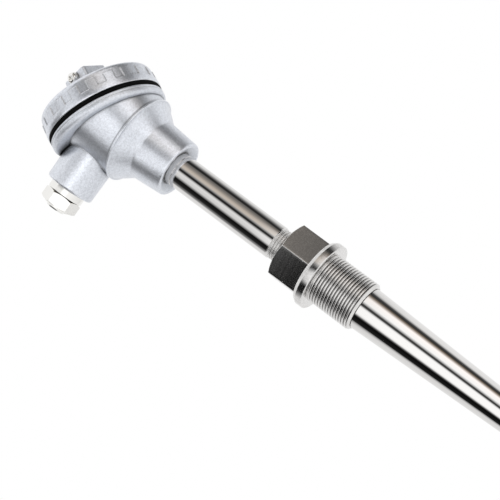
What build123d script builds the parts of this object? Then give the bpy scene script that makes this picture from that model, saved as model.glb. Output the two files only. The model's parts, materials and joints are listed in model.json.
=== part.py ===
# Industrial temperature sensor: connection head, extension pipe, process fitting, conical tube
#
# Millimetres. The probe's axis is Z, the head is up. The origin is on that axis, in the plane of
# the sealing face under the collar, so the thread and the tube reach down into the vessel. The
# cable gland points to -X, and the screw cover is tilted down towards +X.
from math import cos, radians, sin, sqrt, tan
from build123d import *
import os

os.makedirs("parts", exist_ok=True)

# Clearances
screw_slack = 0.05        # between a screw or a push-in piece and its hole
thread_play = 0.25        # between the plain cylinders that stand for two mating threads
seat_gap = 0.1            # between faces that are pressed together by a screwed piece

# Process fitting: thread, sealing collar and hexagon, turned from one bar
thread_d = 33.0           # M33 x 2
thread_l = 31.5
thread_chamfer = 1.6
collar_d = 45.0
collar_h = 5.0
collar_bevel = 2.0
hex_af = 36.0
hex_h = 22.0
hex_turn = 36.0           # angle of one corner about the probe's axis, degrees
hex_bevel_angle = 30.0
well_spigot_d = 20.0      # the tube's plug, welded into the fitting's lower bore
well_spigot_l = 24.0

# Conical protection tube
well_root_d = 28.3
well_tip_d = 17.6
well_l = 200.0            # from the sealing face to the tip
well_bore_d = 8.0
well_tip_wall = 8.0
well_tip_round = 2.5

# Extension pipe
pipe_d = 22.0
pipe_wall = 2.5
pipe_thread_step = 1.1    # half-inch pipe thread at its lower end, smaller than the pipe
pipe_thread_d = pipe_d - pipe_thread_step
pipe_thread_shown = 8.0   # thread left in view above the hexagon
pipe_engage = 13.0        # length screwed into the fitting
pipe_in_neck = 18.5       # length screwed into the head's neck
pipe_shown = 88.5         # from the hexagon's top face to the neck's end face
pipe_groove_w = 0.7
pipe_groove_depth = 0.35
pipe_groove_below_neck = 1.2

# Head, a die casting
neck_d_end = 38.0
neck_d_top = 41.6
neck_h = 22.0
neck_edge = 1.4
neck_end_face = 2.0       # width of the flat ring round the threaded bore's dished mouth
neck_mouth_d = neck_d_end - 2 * neck_end_face
neck_mouth_depth = 3.0
cone_h = 13.0
wall = 3.2
insert_plate_d = 36.8     # the insert that the bowl is made round
insert_room = 6.7         # between the insert and the bowl's wall, for the earth screw
bowl_d = insert_plate_d + 2 * insert_room + 2 * wall
shoulder_ledge = 1.0      # the cone's edge stands out from the bowl
shoulder_d = bowl_d + 2 * shoulder_ledge
shoulder_bead = 0.6
cavity_floor_above_neck = 29.5
insert_hole_d = 16.0

# Tilted opening: its centre, from the probe's axis and from the neck's end face
tilt = 24.3
opening_x = -1.0
bowl_h = 25.4             # from the shoulder to the opening's centre
opening_above_neck = neck_h + cone_h + bowl_h
bowl_flare = 5.3          # how far the bowl widens towards the opening
bowl_top_d = bowl_d + 2 * bowl_flare
bowl_top_shift = 3.6      # towards the low side, so that the gland's side stands upright
bowl_top_below = 3.0
bowl_inside_shift = 2.1
flange_overhang = 5.7     # the flange beyond the bowl
flange_d = bowl_top_d + 2 * flange_overhang
flange_h = 6.3
flange_round = 3.0
flange_line_below = 2.0   # a fine line cast round the rim
flange_line_depth = 0.35
spigot_set_back = 3.8     # the gasket's seat round the spigot
spigot_d = flange_d - 2 * spigot_set_back   # external thread that the cover screws onto
spigot_wall = 3.2
spigot_h = 9.0
cover_pitch = 2.0
cover_turns = 3

# Cable boss
boss_d = 32.6
boss_reach = 51.5         # from the probe's axis to the boss's end face
boss_below_opening = 6.5
boss_above_neck = opening_above_neck - boss_below_opening
boss_edge = 1.6
boss_draft = 0.8          # degrees
boss_core_d = 18.0
gland_thread_d = 20.0
gland_thread_l = 11.0

# Cover
gasket_h = 2.7
gasket_wall = 3.5
cover_overhang = 0.4      # the cover beyond the flange
cover_d = flange_d + 2 * cover_overhang
cover_h = 15.3
cover_top = 2.7
cover_draft = 3.0         # degrees
cover_round = 3.0
cover_step = 2.5          # the cap's inner space is narrower than its thread
cover_inside_d = spigot_d - 2 * cover_step
cover_thread_l = 9.6
tooth_count = 20
tooth_h = 6.2
tooth_from = 4.8          # height of the plain band under the teeth
tooth_depth = 0.6
tooth_share = 0.51
tooth_turn = -2.5         # angle of one tooth's middle, degrees
grip_side = 21.2          # square grip on the cover's top, for a wrench
grip_h = 16.1
grip_turn = -26.7
grip_draft = 2.0
grip_corner = 1.6
grip_edge = 1.0
grip_wall = 3.4
grip_top_wall = 6.4
grip_screw_below_top = 2.8

# Small screws, metric M4
m4_d = 4.0
pan_d = 8.0
pan_h = 2.8
pan_slot_w = 1.1
pan_slot_depth = 1.2
cover_screw_head_d = 7.0
washer_d = 7.6
washer_h = 0.9
cover_screw_l = 6.5

# Cable gland
gland_flange_d = 24.3
gland_flange_h = 4.8
gland_spigot_d = 17.2
gland_spigot_l = 7.5
gland_bore_d = 10.4
gland_cup_d = 14.0
gland_cup_depth = 7.0
seal_hole_d = 8.0
seal_below_rim = 0.5
ring_d = 16.6
ring_hole_d = 9.2
ring_h = 1.2
nut_af = 22.0
nut_hex_h = 8.1
nut_dome_h = 2.4
nut_hole_d = 10.0
nut_turn = 7.0
nut_pitch = 1.5
nut_turns = 4

# Insert: plate, bush, sheath, block and terminals
insert_post_d = 8.0
insert_screw_from_edge = 4.4
insert_screw_spacing = insert_plate_d - 2 * insert_screw_from_edge
insert_plate_above_floor = 9.0
insert_plate_h = 1.4
bush_d = 8.0
bush_h = 11.0
bush_below_plate = 6.0
sheath_d = 6.0
sheath_tip_gap = 0.3
block_d = insert_plate_d
block_h = 6.0
ridge_h = 5.6
ridge_w = 3.0
ridge_gap = 9.6
ridge_screw_gap = 0.2
ridge_l = (insert_screw_spacing - pan_d - ridge_gap) / 2 - ridge_screw_gap
split_washer_h = 1.0
block_screw_l = 14.0
strip_x = 9.0
strip_w = 7.0
strip_l = 20.0
strip_h = 3.0
strip_screw_y = 6.5
strip_screw_head_d = 6.8
strip_screw_head_h = 2.4
strip_screw_l = 6.5
lead_d = 1.2
lead_from_axis = 1.4
lead_bend = 1.0
earth_post_d = 6.8
earth_from_axis = (insert_plate_d + earth_post_d) / 2 + seat_gap
earth_angle = 135.0
earth_post_h = 11.0
earth_washer_side = 5.6
earth_screw_l = 6.0

# Heights that follow from them
hex_top_z = collar_h + collar_bevel + hex_h
neck_z = hex_top_z + pipe_shown
neck_top_z = neck_z + neck_h
shoulder_z = neck_top_z + cone_h
floor_z = neck_z + cavity_floor_above_neck
boss_z = neck_z + boss_above_neck
plate_z = floor_z + insert_plate_above_floor
block_z = plate_z + insert_plate_h
block_top_z = block_z + block_h
strip_top_z = block_top_z + strip_h
pipe_bottom_z = hex_top_z - pipe_engage
pipe_top_z = neck_z + pipe_in_neck
sheath_tip_z = -well_l + well_tip_wall + sheath_tip_gap

# The tilted opening's own plane, and the section plane that its revolved profiles are drawn on
opening_centre = Vector(opening_x, 0, neck_z + opening_above_neck)
opening_normal = Vector(sin(radians(tilt)), 0, cos(radians(tilt)))
downhill = Vector(cos(radians(tilt)), 0, -sin(radians(tilt)))
opening = Plane(origin=opening_centre, x_dir=downhill, z_dir=opening_normal)
opening_section = Plane(origin=opening_centre, x_dir=downhill, z_dir=(0, -1, 0))
opening_axis = Axis(opening_centre, opening_normal)

# The gland's section plane: its X is the distance out of the boss's end face
boss_end = Vector(-boss_reach, 0, boss_z)
gland_section = Plane(origin=boss_end, x_dir=(-1, 0, 0), z_dir=(0, 1, 0))
gland_axis = Axis(boss_end, (-1, 0, 0))
gland_face = Plane(origin=boss_end, x_dir=(0, -1, 0), z_dir=(-1, 0, 0))


def finish(piece, label):
    """Label a finished piece and write it to its own STEP file."""
    piece.part.label = label
    export_step(piece.part, f"parts/{label}.step")


# Head body
# The neck and the cone are turned shapes, the bowl is a loft from the round shoulder to the
# tilted opening, and the inside follows the outside at the wall's thickness.
with BuildPart() as head_body:
    with BuildSketch(Plane.XZ):
        with BuildLine():
            Polyline((0, neck_z), (neck_d_end / 2 - neck_edge, neck_z))
            RadiusArc(
                (neck_d_end / 2 - neck_edge, neck_z),
                (neck_d_end / 2, neck_z + neck_edge),
                -neck_edge,
            )
            Polyline(
                (neck_d_end / 2, neck_z + neck_edge),
                (neck_d_top / 2, neck_top_z),
                (shoulder_d / 2, shoulder_z - shoulder_bead),
            )
            RadiusArc(
                (shoulder_d / 2, shoulder_z - shoulder_bead),
                (shoulder_d / 2 - shoulder_bead, shoulder_z),
                -shoulder_bead,
            )
            Polyline((shoulder_d / 2 - shoulder_bead, shoulder_z), (0, shoulder_z), (0, neck_z))
        make_face()
    revolve(axis=Axis.Z)
    with BuildSketch(Plane.XY.offset(shoulder_z - shoulder_bead)):
        Circle(bowl_d / 2)
    with BuildSketch(opening.offset(-bowl_top_below)):
        with Locations((bowl_top_shift, 0)):
            Circle(bowl_top_d / 2)
    loft()
    # Flange and threaded spigot about the tilted axis
    with BuildSketch(opening_section):
        with BuildLine():
            Polyline((0, -flange_h), (flange_d / 2 - flange_round, -flange_h))
            RadiusArc(
                (flange_d / 2 - flange_round, -flange_h),
                (flange_d / 2, flange_round - flange_h),
                -flange_round,
            )
            Polyline(
                (flange_d / 2, flange_round - flange_h),
                (flange_d / 2, -flange_line_below - flange_line_depth),
                (flange_d / 2 - flange_line_depth, -flange_line_below),
                (flange_d / 2, -flange_line_below + flange_line_depth),
                (flange_d / 2, -flange_line_depth),
                (flange_d / 2 - flange_line_depth, 0),
                (spigot_d / 2, 0),
                (spigot_d / 2, spigot_h - seat_gap),
                (0, spigot_h - seat_gap),
                (0, -flange_h),
            )
        make_face()
    revolve(axis=opening_axis)
    # Cable boss, with a little draft towards its end
    with BuildSketch(gland_face):
        Circle(boss_d / 2)
    extrude(amount=bowl_d / 2 - 3 * wall - boss_reach, taper=-boss_draft)
    boss_rim = head_body.edges().filter_by(GeomType.CIRCLE).sort_by(Axis.X)[0]
    fillet(boss_rim, boss_edge)
    # Inside: a turned floor, a loft up to the opening, and the round mouth
    with BuildSketch(Plane.XZ):
        Polygon(
            (0, floor_z),
            (bowl_d / 2 - 2 * wall, floor_z),
            (bowl_d / 2 - wall, shoulder_z + shoulder_bead),
            (0, shoulder_z + shoulder_bead),
            align=None,
        )
    revolve(axis=Axis.Z, mode=Mode.SUBTRACT)
    with BuildSketch(Plane.XY.offset(shoulder_z + shoulder_bead)):
        Circle(bowl_d / 2 - wall)
    with BuildSketch(opening.offset(-bowl_top_below)):
        with Locations((bowl_inside_shift, 0)):
            Circle(bowl_top_d / 2 - wall - (bowl_top_shift - bowl_inside_shift))
    loft(mode=Mode.SUBTRACT)
    with BuildSketch(opening.offset(-bowl_top_below)):
        Circle(spigot_d / 2 - spigot_wall)
    extrude(amount=bowl_top_below + spigot_h, mode=Mode.SUBTRACT)
    # Bores of the neck, with its dished mouth, and of the boss
    with BuildSketch(Plane.XZ):
        Polygon(
            (0, neck_z),
            (neck_mouth_d / 2, neck_z),
            (pipe_d / 2 + screw_slack, neck_z + neck_mouth_depth),
            (pipe_d / 2 + screw_slack, pipe_top_z + seat_gap),
            (insert_hole_d / 2, pipe_top_z + seat_gap),
            (insert_hole_d / 2, floor_z),
            (0, floor_z),
            align=None,
        )
    revolve(axis=Axis.Z, mode=Mode.SUBTRACT)
    with BuildSketch(gland_face):
        Circle(boss_core_d / 2)
    extrude(amount=-(boss_reach - bowl_d / 2 + 2 * wall), mode=Mode.SUBTRACT)
    with BuildSketch(gland_face):
        Circle(gland_thread_d / 2 + screw_slack)
    extrude(amount=-(gland_thread_l + seat_gap), mode=Mode.SUBTRACT)
    # Two posts for the insert and one for the earth screw
    with BuildSketch(Plane.XY.offset(floor_z)):
        with GridLocations(0, insert_screw_spacing, 1, 2):
            Circle(insert_post_d / 2)
    extrude(amount=insert_plate_above_floor)
    with BuildSketch(Plane.XY.offset(floor_z)):
        with PolarLocations(earth_from_axis, 1, earth_angle):
            Circle(earth_post_d / 2)
    extrude(amount=earth_post_h)
    with BuildSketch(Plane.XY.offset(plate_z)):
        with GridLocations(0, insert_screw_spacing, 1, 2):
            Circle(m4_d / 2 + screw_slack)
    extrude(amount=-insert_plate_above_floor, mode=Mode.SUBTRACT)
    with BuildSketch(Plane.XY.offset(floor_z + earth_post_h)):
        with PolarLocations(earth_from_axis, 1, earth_angle):
            Circle(m4_d / 2 + screw_slack)
    extrude(amount=-earth_screw_l, mode=Mode.SUBTRACT)
finish(head_body, "head_body")

# Gasket, a flat ring under the cover's skirt
gasket_inner_r = flange_d / 2 - gasket_wall
with BuildPart() as cover_gasket:
    with BuildSketch(opening.offset(seat_gap)):
        Circle(flange_d / 2)
        Circle(gasket_inner_r, mode=Mode.SUBTRACT)
    extrude(amount=gasket_h)
finish(cover_gasket, "cover_gasket")

# Cover
# A turned cap with a tapered side. Its grip band is a square wave: teeth that stand on the plain
# lower band, with the gaps and the band above them set back. A hollow square grip stands on top.
skirt_z = gasket_h + 2 * seat_gap
cover_top_z = skirt_z + cover_h
cover_edge_z = cover_top_z - cover_round
tooth_z = skirt_z + tooth_from
tooth_top_z = tooth_z + tooth_h


def cover_r_at(height):
    """Radius of the cover's tapered side at a height above the opening."""
    return cover_d / 2 - (height - skirt_z) * tan(radians(cover_draft))


# The teeth: a tapered ring, cut into wedges
half_tooth = radians(180 / tooth_count * tooth_share)
tooth_root_r = cover_r_at(tooth_top_z) - 2 * tooth_depth
wedge_w = cover_d * tan(half_tooth)
with BuildPart() as cover_teeth:
    with BuildSketch(opening_section):
        Polygon(
            (tooth_root_r, tooth_z),
            (cover_r_at(tooth_z), tooth_z),
            (cover_r_at(tooth_top_z), tooth_top_z),
            (tooth_root_r, tooth_top_z),
            align=None,
        )
    revolve(axis=opening_axis)
    with BuildSketch(opening.offset(tooth_z)):
        with PolarLocations(0, tooth_count, tooth_turn):
            Polygon((0, 0), (cover_d, -wedge_w), (cover_d, wedge_w), align=None)
    extrude(amount=tooth_h, mode=Mode.INTERSECT)

with BuildPart() as head_cover:
    with BuildSketch(opening_section):
        with BuildLine():
            Polyline(
                (0, skirt_z),
                (cover_r_at(skirt_z) - tooth_depth, skirt_z),
                (cover_r_at(skirt_z + tooth_depth), skirt_z + tooth_depth),
                (cover_r_at(tooth_z), tooth_z),
                (cover_r_at(tooth_z) - tooth_depth, tooth_z),
                (cover_r_at(cover_edge_z) - tooth_depth, cover_edge_z),
            )
            RadiusArc(
                (cover_r_at(cover_edge_z) - tooth_depth, cover_edge_z),
                (cover_r_at(cover_edge_z) - tooth_depth - cover_round, cover_top_z),
                -cover_round,
            )
            Polyline(
                (cover_r_at(cover_edge_z) - tooth_depth - cover_round, cover_top_z),
                (0, cover_top_z),
                (0, skirt_z),
            )
        make_face()
    revolve(axis=opening_axis)
    # Square grip
    with BuildSketch(opening.offset(cover_top_z)):
        RectangleRounded(grip_side, grip_side, grip_corner, rotation=grip_turn)
    extrude(amount=grip_h, taper=grip_draft)
    grip_rim = head_cover.faces().sort_by(opening_axis)[-1].edges()
    fillet(grip_rim, grip_edge)
    add(cover_teeth)
    # Inside: thread for the head's spigot, the cap's space and the hollow of the grip
    with BuildSketch(opening.offset(skirt_z)):
        Circle(spigot_d / 2 + thread_play)
    extrude(amount=cover_thread_l, mode=Mode.SUBTRACT)
    with BuildSketch(opening.offset(skirt_z)):
        Circle(cover_inside_d / 2)
    extrude(amount=cover_h - cover_top, mode=Mode.SUBTRACT)
    hollow_side = grip_side - 2 * grip_wall
    with BuildSketch(opening.offset(cover_top_z - cover_top)):
        RectangleRounded(hollow_side, hollow_side, grip_corner, rotation=grip_turn)
    extrude(amount=cover_top + grip_h - grip_top_wall, taper=grip_draft, mode=Mode.SUBTRACT)
    # Tapped hole for the screw on the grip's left face
    grip_face_turn = grip_turn - 90
    sideways = downhill * cos(radians(grip_face_turn)) + Vector(0, 1, 0) * sin(radians(grip_face_turn))
    face_out = sideways * cos(radians(grip_draft)) + opening_normal * sin(radians(grip_draft))
    screw_height = grip_h - grip_screw_below_top
    face_r = grip_side / 2 - screw_height * tan(radians(grip_draft))
    face_point = opening_centre + opening_normal * (cover_top_z + screw_height) + sideways * face_r
    grip_face = Plane(origin=face_point, z_dir=face_out)
    with BuildSketch(grip_face):
        Circle(m4_d / 2 + screw_slack)
    extrude(amount=-2 * grip_wall, mode=Mode.SUBTRACT)
finish(head_cover, "head_cover")

# Screw and washer on the grip
with BuildPart() as cover_screw_washer:
    with BuildSketch(grip_face.offset(screw_slack)):
        Circle(washer_d / 2)
        Circle(m4_d / 2 + 2 * screw_slack, mode=Mode.SUBTRACT)
    extrude(amount=washer_h)
finish(cover_screw_washer, "cover_screw_washer")

screw_seat = grip_face.offset(washer_h + 2 * screw_slack)
with BuildPart() as cover_screw:
    with BuildSketch(screw_seat):
        Circle(cover_screw_head_d / 2)
    extrude(amount=pan_h)
    crown = cover_screw.edges().group_by(Axis(screw_seat.origin, screw_seat.z_dir))[-1]
    fillet(crown, pan_h / 2)
    with BuildSketch(screw_seat):
        Circle(m4_d / 2)
    extrude(amount=-cover_screw_l)
    with BuildSketch(screw_seat.offset(pan_h)):
        Rectangle(pan_slot_w, cover_screw_head_d / 2)
        Rectangle(cover_screw_head_d / 2, pan_slot_w)
    extrude(amount=-pan_slot_depth, mode=Mode.SUBTRACT)
finish(cover_screw, "cover_screw")

# Gland body: thread in the boss, a round flange, and a cup for the grommet inside its spigot
gland_rim = gland_flange_h + gland_spigot_l
cup_floor = gland_rim - gland_cup_depth
with BuildPart() as gland_body:
    with BuildSketch(gland_section):
        with BuildLine():
            Polyline(
                (-gland_thread_l, gland_bore_d / 2),
                (-gland_thread_l, gland_thread_d / 2),
                (seat_gap, gland_thread_d / 2),
                (seat_gap, gland_flange_d / 2 - seat_gap),
                (2 * seat_gap, gland_flange_d / 2),
                (gland_flange_h - 4 * seat_gap, gland_flange_d / 2),
                (gland_flange_h, gland_flange_d / 2 - 4 * seat_gap),
                (gland_flange_h, gland_spigot_d / 2),
                (gland_rim, gland_spigot_d / 2),
                (gland_rim, gland_cup_d / 2),
                (cup_floor, gland_cup_d / 2),
                (cup_floor, gland_bore_d / 2),
                close=True,
            )
        make_face()
    revolve(axis=gland_axis)
finish(gland_body, "gland_body")

# Grommet in the cup
with BuildPart() as gland_seal:
    with BuildSketch(gland_face.offset(cup_floor)):
        Circle(gland_cup_d / 2 - screw_slack)
        Circle(seal_hole_d / 2, mode=Mode.SUBTRACT)
    extrude(amount=gland_cup_depth - seal_below_rim)
finish(gland_seal, "gland_seal")

# Thrust ring, which stays in the nut when the nut is unscrewed
ring_g = gland_rim + 3 * seat_gap
with BuildPart() as gland_ring:
    with BuildSketch(gland_face.offset(ring_g)):
        Circle(ring_d / 2)
        Circle(ring_hole_d / 2, mode=Mode.SUBTRACT)
    extrude(amount=ring_h)
finish(gland_ring, "gland_ring")

# Nut: a hexagon with turned bevels and a shallow dome
nut_g = gland_flange_h + 3 * seat_gap
nut_cavity_g = ring_g + ring_h + 3 * seat_gap
nut_ac = nut_af * 2 / sqrt(3)
nut_dome_g = nut_g + nut_hex_h
with BuildPart() as gland_nut:
    with BuildSketch(gland_face.offset(nut_g)):
        RegularPolygon(nut_af / 2, 6, major_radius=False, rotation=nut_turn)
    extrude(amount=nut_hex_h)
    bevel = (nut_ac - nut_af) / 2 * tan(radians(hex_bevel_angle))
    with BuildSketch(gland_section):
        Polygon(
            (nut_g, 0),
            (nut_g, nut_af / 2),
            (nut_g + bevel, nut_ac / 2),
            (nut_dome_g - bevel, nut_ac / 2),
            (nut_dome_g, nut_af / 2),
            (nut_dome_g, 0),
            align=None,
        )
    revolve(axis=gland_axis, mode=Mode.INTERSECT)
    with BuildSketch(gland_section):
        with BuildLine():
            Polyline(
                (nut_dome_g, nut_af / 2 - bevel),
                (nut_dome_g, 0),
                (nut_dome_g + nut_dome_h, 0),
                (nut_dome_g + nut_dome_h, nut_hole_d / 2 + nut_dome_h / 2),
            )
            RadiusArc(
                (nut_dome_g + nut_dome_h, nut_hole_d / 2 + nut_dome_h / 2),
                (nut_dome_g, nut_af / 2 - bevel),
                -nut_af / 2,
            )
        make_face()
    revolve(axis=gland_axis)
    with BuildSketch(gland_face.offset(nut_g)):
        Circle(gland_spigot_d / 2 + thread_play)
    extrude(amount=nut_cavity_g - nut_g, mode=Mode.SUBTRACT)
    with BuildSketch(gland_face.offset(nut_g)):
        Circle(nut_hole_d / 2)
    extrude(amount=nut_hex_h + nut_dome_h, mode=Mode.SUBTRACT)
finish(gland_nut, "gland_nut")

# Process fitting
hex_ac = hex_af * 2 / sqrt(3)
hex_bevel = (hex_ac - hex_af) / 2 * tan(radians(hex_bevel_angle))
hex_z = collar_h + collar_bevel
with BuildPart() as process_fitting:
    with BuildSketch(Plane.XY.offset(hex_z - collar_bevel / 2)):
        RegularPolygon(hex_af / 2, 6, major_radius=False, rotation=hex_turn)
    extrude(amount=hex_h + collar_bevel / 2)
    with BuildSketch(Plane.XZ):
        Polygon(
            (0, hex_z - collar_bevel),
            (hex_ac / 2, hex_z - collar_bevel),
            (hex_ac / 2, hex_top_z - hex_bevel),
            (hex_af / 2, hex_top_z),
            (0, hex_top_z),
            align=None,
        )
    revolve(axis=Axis.Z, mode=Mode.INTERSECT)
    with BuildSketch(Plane.XZ):
        Polygon(
            (0, -thread_l),
            (thread_d / 2 - thread_chamfer, -thread_l),
            (thread_d / 2, thread_chamfer - thread_l),
            (thread_d / 2, 0),
            (collar_d / 2 - 4 * seat_gap, 0),
            (collar_d / 2, 4 * seat_gap),
            (collar_d / 2, collar_h),
            (collar_d / 2 - collar_bevel, collar_h + collar_bevel),
            (0, collar_h + collar_bevel),
            align=None,
        )
    revolve(axis=Axis.Z)
    # Bores: pipe thread above, clear hole between, tube's plug below
    with BuildSketch(Plane.XZ):
        Polygon(
            (0, -thread_l),
            (well_spigot_d / 2 + screw_slack, -thread_l),
            (well_spigot_d / 2 + screw_slack, well_spigot_l + seat_gap - thread_l),
            (well_bore_d / 2, well_spigot_l + seat_gap - thread_l),
            (well_bore_d / 2, pipe_bottom_z - seat_gap),
            (pipe_thread_d / 2 + screw_slack, pipe_bottom_z - seat_gap),
            (pipe_thread_d / 2 + screw_slack, hex_top_z),
            (0, hex_top_z),
            align=None,
        )
    revolve(axis=Axis.Z, mode=Mode.SUBTRACT)
finish(process_fitting, "process_fitting")

# Protection tube: conical outside, straight bore, closed tip
with BuildPart() as protection_tube:
    with BuildSketch(Plane.XZ):
        with BuildLine():
            Polyline(
                (well_tip_d / 2, well_tip_round - well_l),
                (well_root_d / 2, -thread_l),
                (well_spigot_d / 2, -thread_l),
                (well_spigot_d / 2, well_spigot_l - thread_l),
                (well_bore_d / 2, well_spigot_l - thread_l),
                (well_bore_d / 2, well_tip_wall - well_l),
                (0, well_tip_wall - well_l),
                (0, -well_l),
                (well_tip_d / 2 - well_tip_round, -well_l),
            )
            RadiusArc(
                (well_tip_d / 2 - well_tip_round, -well_l),
                (well_tip_d / 2, well_tip_round - well_l),
                -well_tip_round,
            )
        make_face()
    revolve(axis=Axis.Z)
finish(protection_tube, "protection_tube")

# Extension pipe: lower pipe thread, polished middle, a groove and the run into the neck
groove_z = neck_z - pipe_groove_below_neck
pipe_shoulder_z = hex_top_z + pipe_thread_shown
with BuildPart() as extension_pipe:
    with BuildSketch(Plane.XZ):
        Polygon(
            (pipe_d / 2 - pipe_wall, pipe_bottom_z),
            (pipe_thread_d / 2, pipe_bottom_z),
            (pipe_thread_d / 2, pipe_shoulder_z),
            (pipe_d / 2, pipe_shoulder_z + (pipe_d - pipe_thread_d) / 2),
            (pipe_d / 2, groove_z - pipe_groove_w),
            (pipe_d / 2 - pipe_groove_depth, groove_z - pipe_groove_w),
            (pipe_d / 2 - pipe_groove_depth, groove_z),
            (pipe_d / 2, groove_z),
            (pipe_d / 2, pipe_top_z),
            (pipe_d / 2 - pipe_wall, pipe_top_z),
            align=None,
        )
    revolve(axis=Axis.Z)
finish(extension_pipe, "extension_pipe")

# Insert plate, hung on the head's two posts
with BuildPart() as insert_plate:
    with BuildSketch(Plane.XY.offset(plate_z)):
        Circle(insert_plate_d / 2)
        Circle(bush_d / 2 + screw_slack, mode=Mode.SUBTRACT)
        with GridLocations(0, insert_screw_spacing, 1, 2):
            Circle(m4_d / 2 + 4 * screw_slack, mode=Mode.SUBTRACT)
    extrude(amount=insert_plate_h)
finish(insert_plate, "insert_plate")

# Bush between plate and sheath
bush_z = plate_z - bush_below_plate
with BuildPart() as insert_bush:
    with BuildSketch(Plane.XY.offset(bush_z)):
        Circle(bush_d / 2)
        Circle(sheath_d / 2 + screw_slack, mode=Mode.SUBTRACT)
    extrude(amount=bush_h)
finish(insert_bush, "insert_bush")

# Sheath with its closed, rounded tip
sheath_top_z = bush_z + bush_h
with BuildPart() as insert_sheath:
    with BuildSketch(Plane.XZ):
        with BuildLine():
            Polyline(
                (0, sheath_tip_z),
                (0, sheath_top_z),
                (sheath_d / 2, sheath_top_z),
                (sheath_d / 2, sheath_tip_z + sheath_d / 2),
            )
            RadiusArc((sheath_d / 2, sheath_tip_z + sheath_d / 2), (0, sheath_tip_z), sheath_d / 2)
        make_face()
    revolve(axis=Axis.Z)
finish(insert_sheath, "insert_sheath")

# Ceramic block with two ridges that part the terminals
with BuildPart() as terminal_block:
    with BuildSketch(Plane.XY.offset(block_z)):
        Circle(block_d / 2)
    extrude(amount=block_h)
    with BuildSketch(Plane.XY.offset(block_top_z)):
        with GridLocations(0, ridge_gap + ridge_l, 1, 2):
            RectangleRounded(ridge_w, ridge_l, ridge_w / 4)
    extrude(amount=ridge_h)
    with BuildSketch(Plane.XY.offset(block_top_z)):
        Circle(bush_d / 2 + 2 * screw_slack)
        with GridLocations(0, insert_screw_spacing, 1, 2):
            Circle(m4_d / 2 + 4 * screw_slack)
        with GridLocations(2 * strip_x, 2 * strip_screw_y, 2, 2):
            Circle(m4_d / 2 + screw_slack)
    extrude(amount=-block_h, mode=Mode.SUBTRACT)
finish(terminal_block, "terminal_block")

# Brass terminal strips, one on each side of the ridges
for side, label in ((1, "terminal_positive"), (-1, "terminal_negative")):
    with BuildPart() as terminal:
        with BuildSketch(Plane.XY.offset(block_top_z)):
            with Locations((side * strip_x, 0)):
                RectangleRounded(strip_w, strip_l, strip_w / 6)
            with GridLocations(2 * strip_x, 2 * strip_screw_y, 2, 2):
                Circle(m4_d / 2 + screw_slack, mode=Mode.SUBTRACT)
        extrude(amount=strip_h)
    finish(terminal, label)

# Their four clamp screws, raised by the lead's thickness
clamp_z = strip_top_z + lead_d + screw_slack
with BuildPart() as terminal_screws:
    with BuildSketch(Plane.XY.offset(clamp_z)):
        with GridLocations(2 * strip_x, 2 * strip_screw_y, 2, 2):
            Circle(strip_screw_head_d / 2)
    extrude(amount=strip_screw_head_h)
    with BuildSketch(Plane.XY.offset(clamp_z)):
        with GridLocations(2 * strip_x, 2 * strip_screw_y, 2, 2):
            Circle(m4_d / 2)
    extrude(amount=-strip_screw_l)
    with BuildSketch(Plane.XY.offset(clamp_z + strip_screw_head_h)):
        with GridLocations(2 * strip_x, 2 * strip_screw_y, 2, 2):
            Rectangle(pan_slot_w, strip_screw_head_d, rotation=30)
    extrude(amount=-pan_slot_depth, mode=Mode.SUBTRACT)
finish(terminal_screws, "terminal_screws")

# Split washers and screws that hold the block and the insert down
with BuildPart() as block_spring_washers:
    with BuildSketch(Plane.XY.offset(block_top_z)):
        with GridLocations(0, insert_screw_spacing, 1, 2):
            Circle(pan_d / 2 - 4 * screw_slack)
            Circle(m4_d / 2 + 2 * screw_slack, mode=Mode.SUBTRACT)
            with Locations((pan_d / 3, 0)):
                Rectangle(pan_d / 2, pan_slot_w / 2, mode=Mode.SUBTRACT)
    extrude(amount=split_washer_h)
finish(block_spring_washers, "block_spring_washers")

block_head_z = block_top_z + split_washer_h
with BuildPart() as block_screws:
    with BuildSketch(Plane.XY.offset(block_head_z)):
        with GridLocations(0, insert_screw_spacing, 1, 2):
            Circle(pan_d / 2 - 2 * screw_slack)
    extrude(amount=pan_h)
    with BuildSketch(Plane.XY.offset(block_head_z)):
        with GridLocations(0, insert_screw_spacing, 1, 2):
            Circle(m4_d / 2)
    extrude(amount=-block_screw_l)
    with BuildSketch(Plane.XY.offset(block_head_z + pan_h)):
        with GridLocations(0, insert_screw_spacing, 1, 2):
            Rectangle(pan_d, pan_slot_w, rotation=20)
    extrude(amount=-pan_slot_depth, mode=Mode.SUBTRACT)
finish(block_screws, "block_screws")

# Lead wires: up from the bush, over the strip, and along under its clamp screw
lead_x = strip_x - m4_d / 2 - lead_d / 2 - 2 * screw_slack
lead_z = strip_top_z + lead_d / 2
lead_end_y = strip_screw_y + m4_d / 2
for side, label in ((1, "lead_positive"), (-1, "lead_negative")):
    with BuildPart() as lead:
        with BuildLine():
            route = FilletPolyline(
                (side * lead_from_axis, 0, sheath_top_z),
                (side * lead_from_axis, 0, lead_z),
                (side * lead_x, 0, lead_z),
                (side * lead_x, -side * lead_end_y, lead_z),
                radius=lead_bend,
            )
        with BuildSketch(Plane(origin=route @ 0, z_dir=route % 0)):
            Circle(lead_d / 2)
        sweep(path=route)
    finish(lead, label)

# Earth screw and its square clamp washer, on the third post
earth_z = floor_z + earth_post_h
with BuildPart() as earth_washer:
    with BuildSketch(Plane.XY.offset(earth_z)):
        with PolarLocations(earth_from_axis, 1, earth_angle):
            Rectangle(earth_washer_side, earth_washer_side)
            Circle(m4_d / 2 + 2 * screw_slack, mode=Mode.SUBTRACT)
    extrude(amount=washer_h)
finish(earth_washer, "earth_washer")

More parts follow.
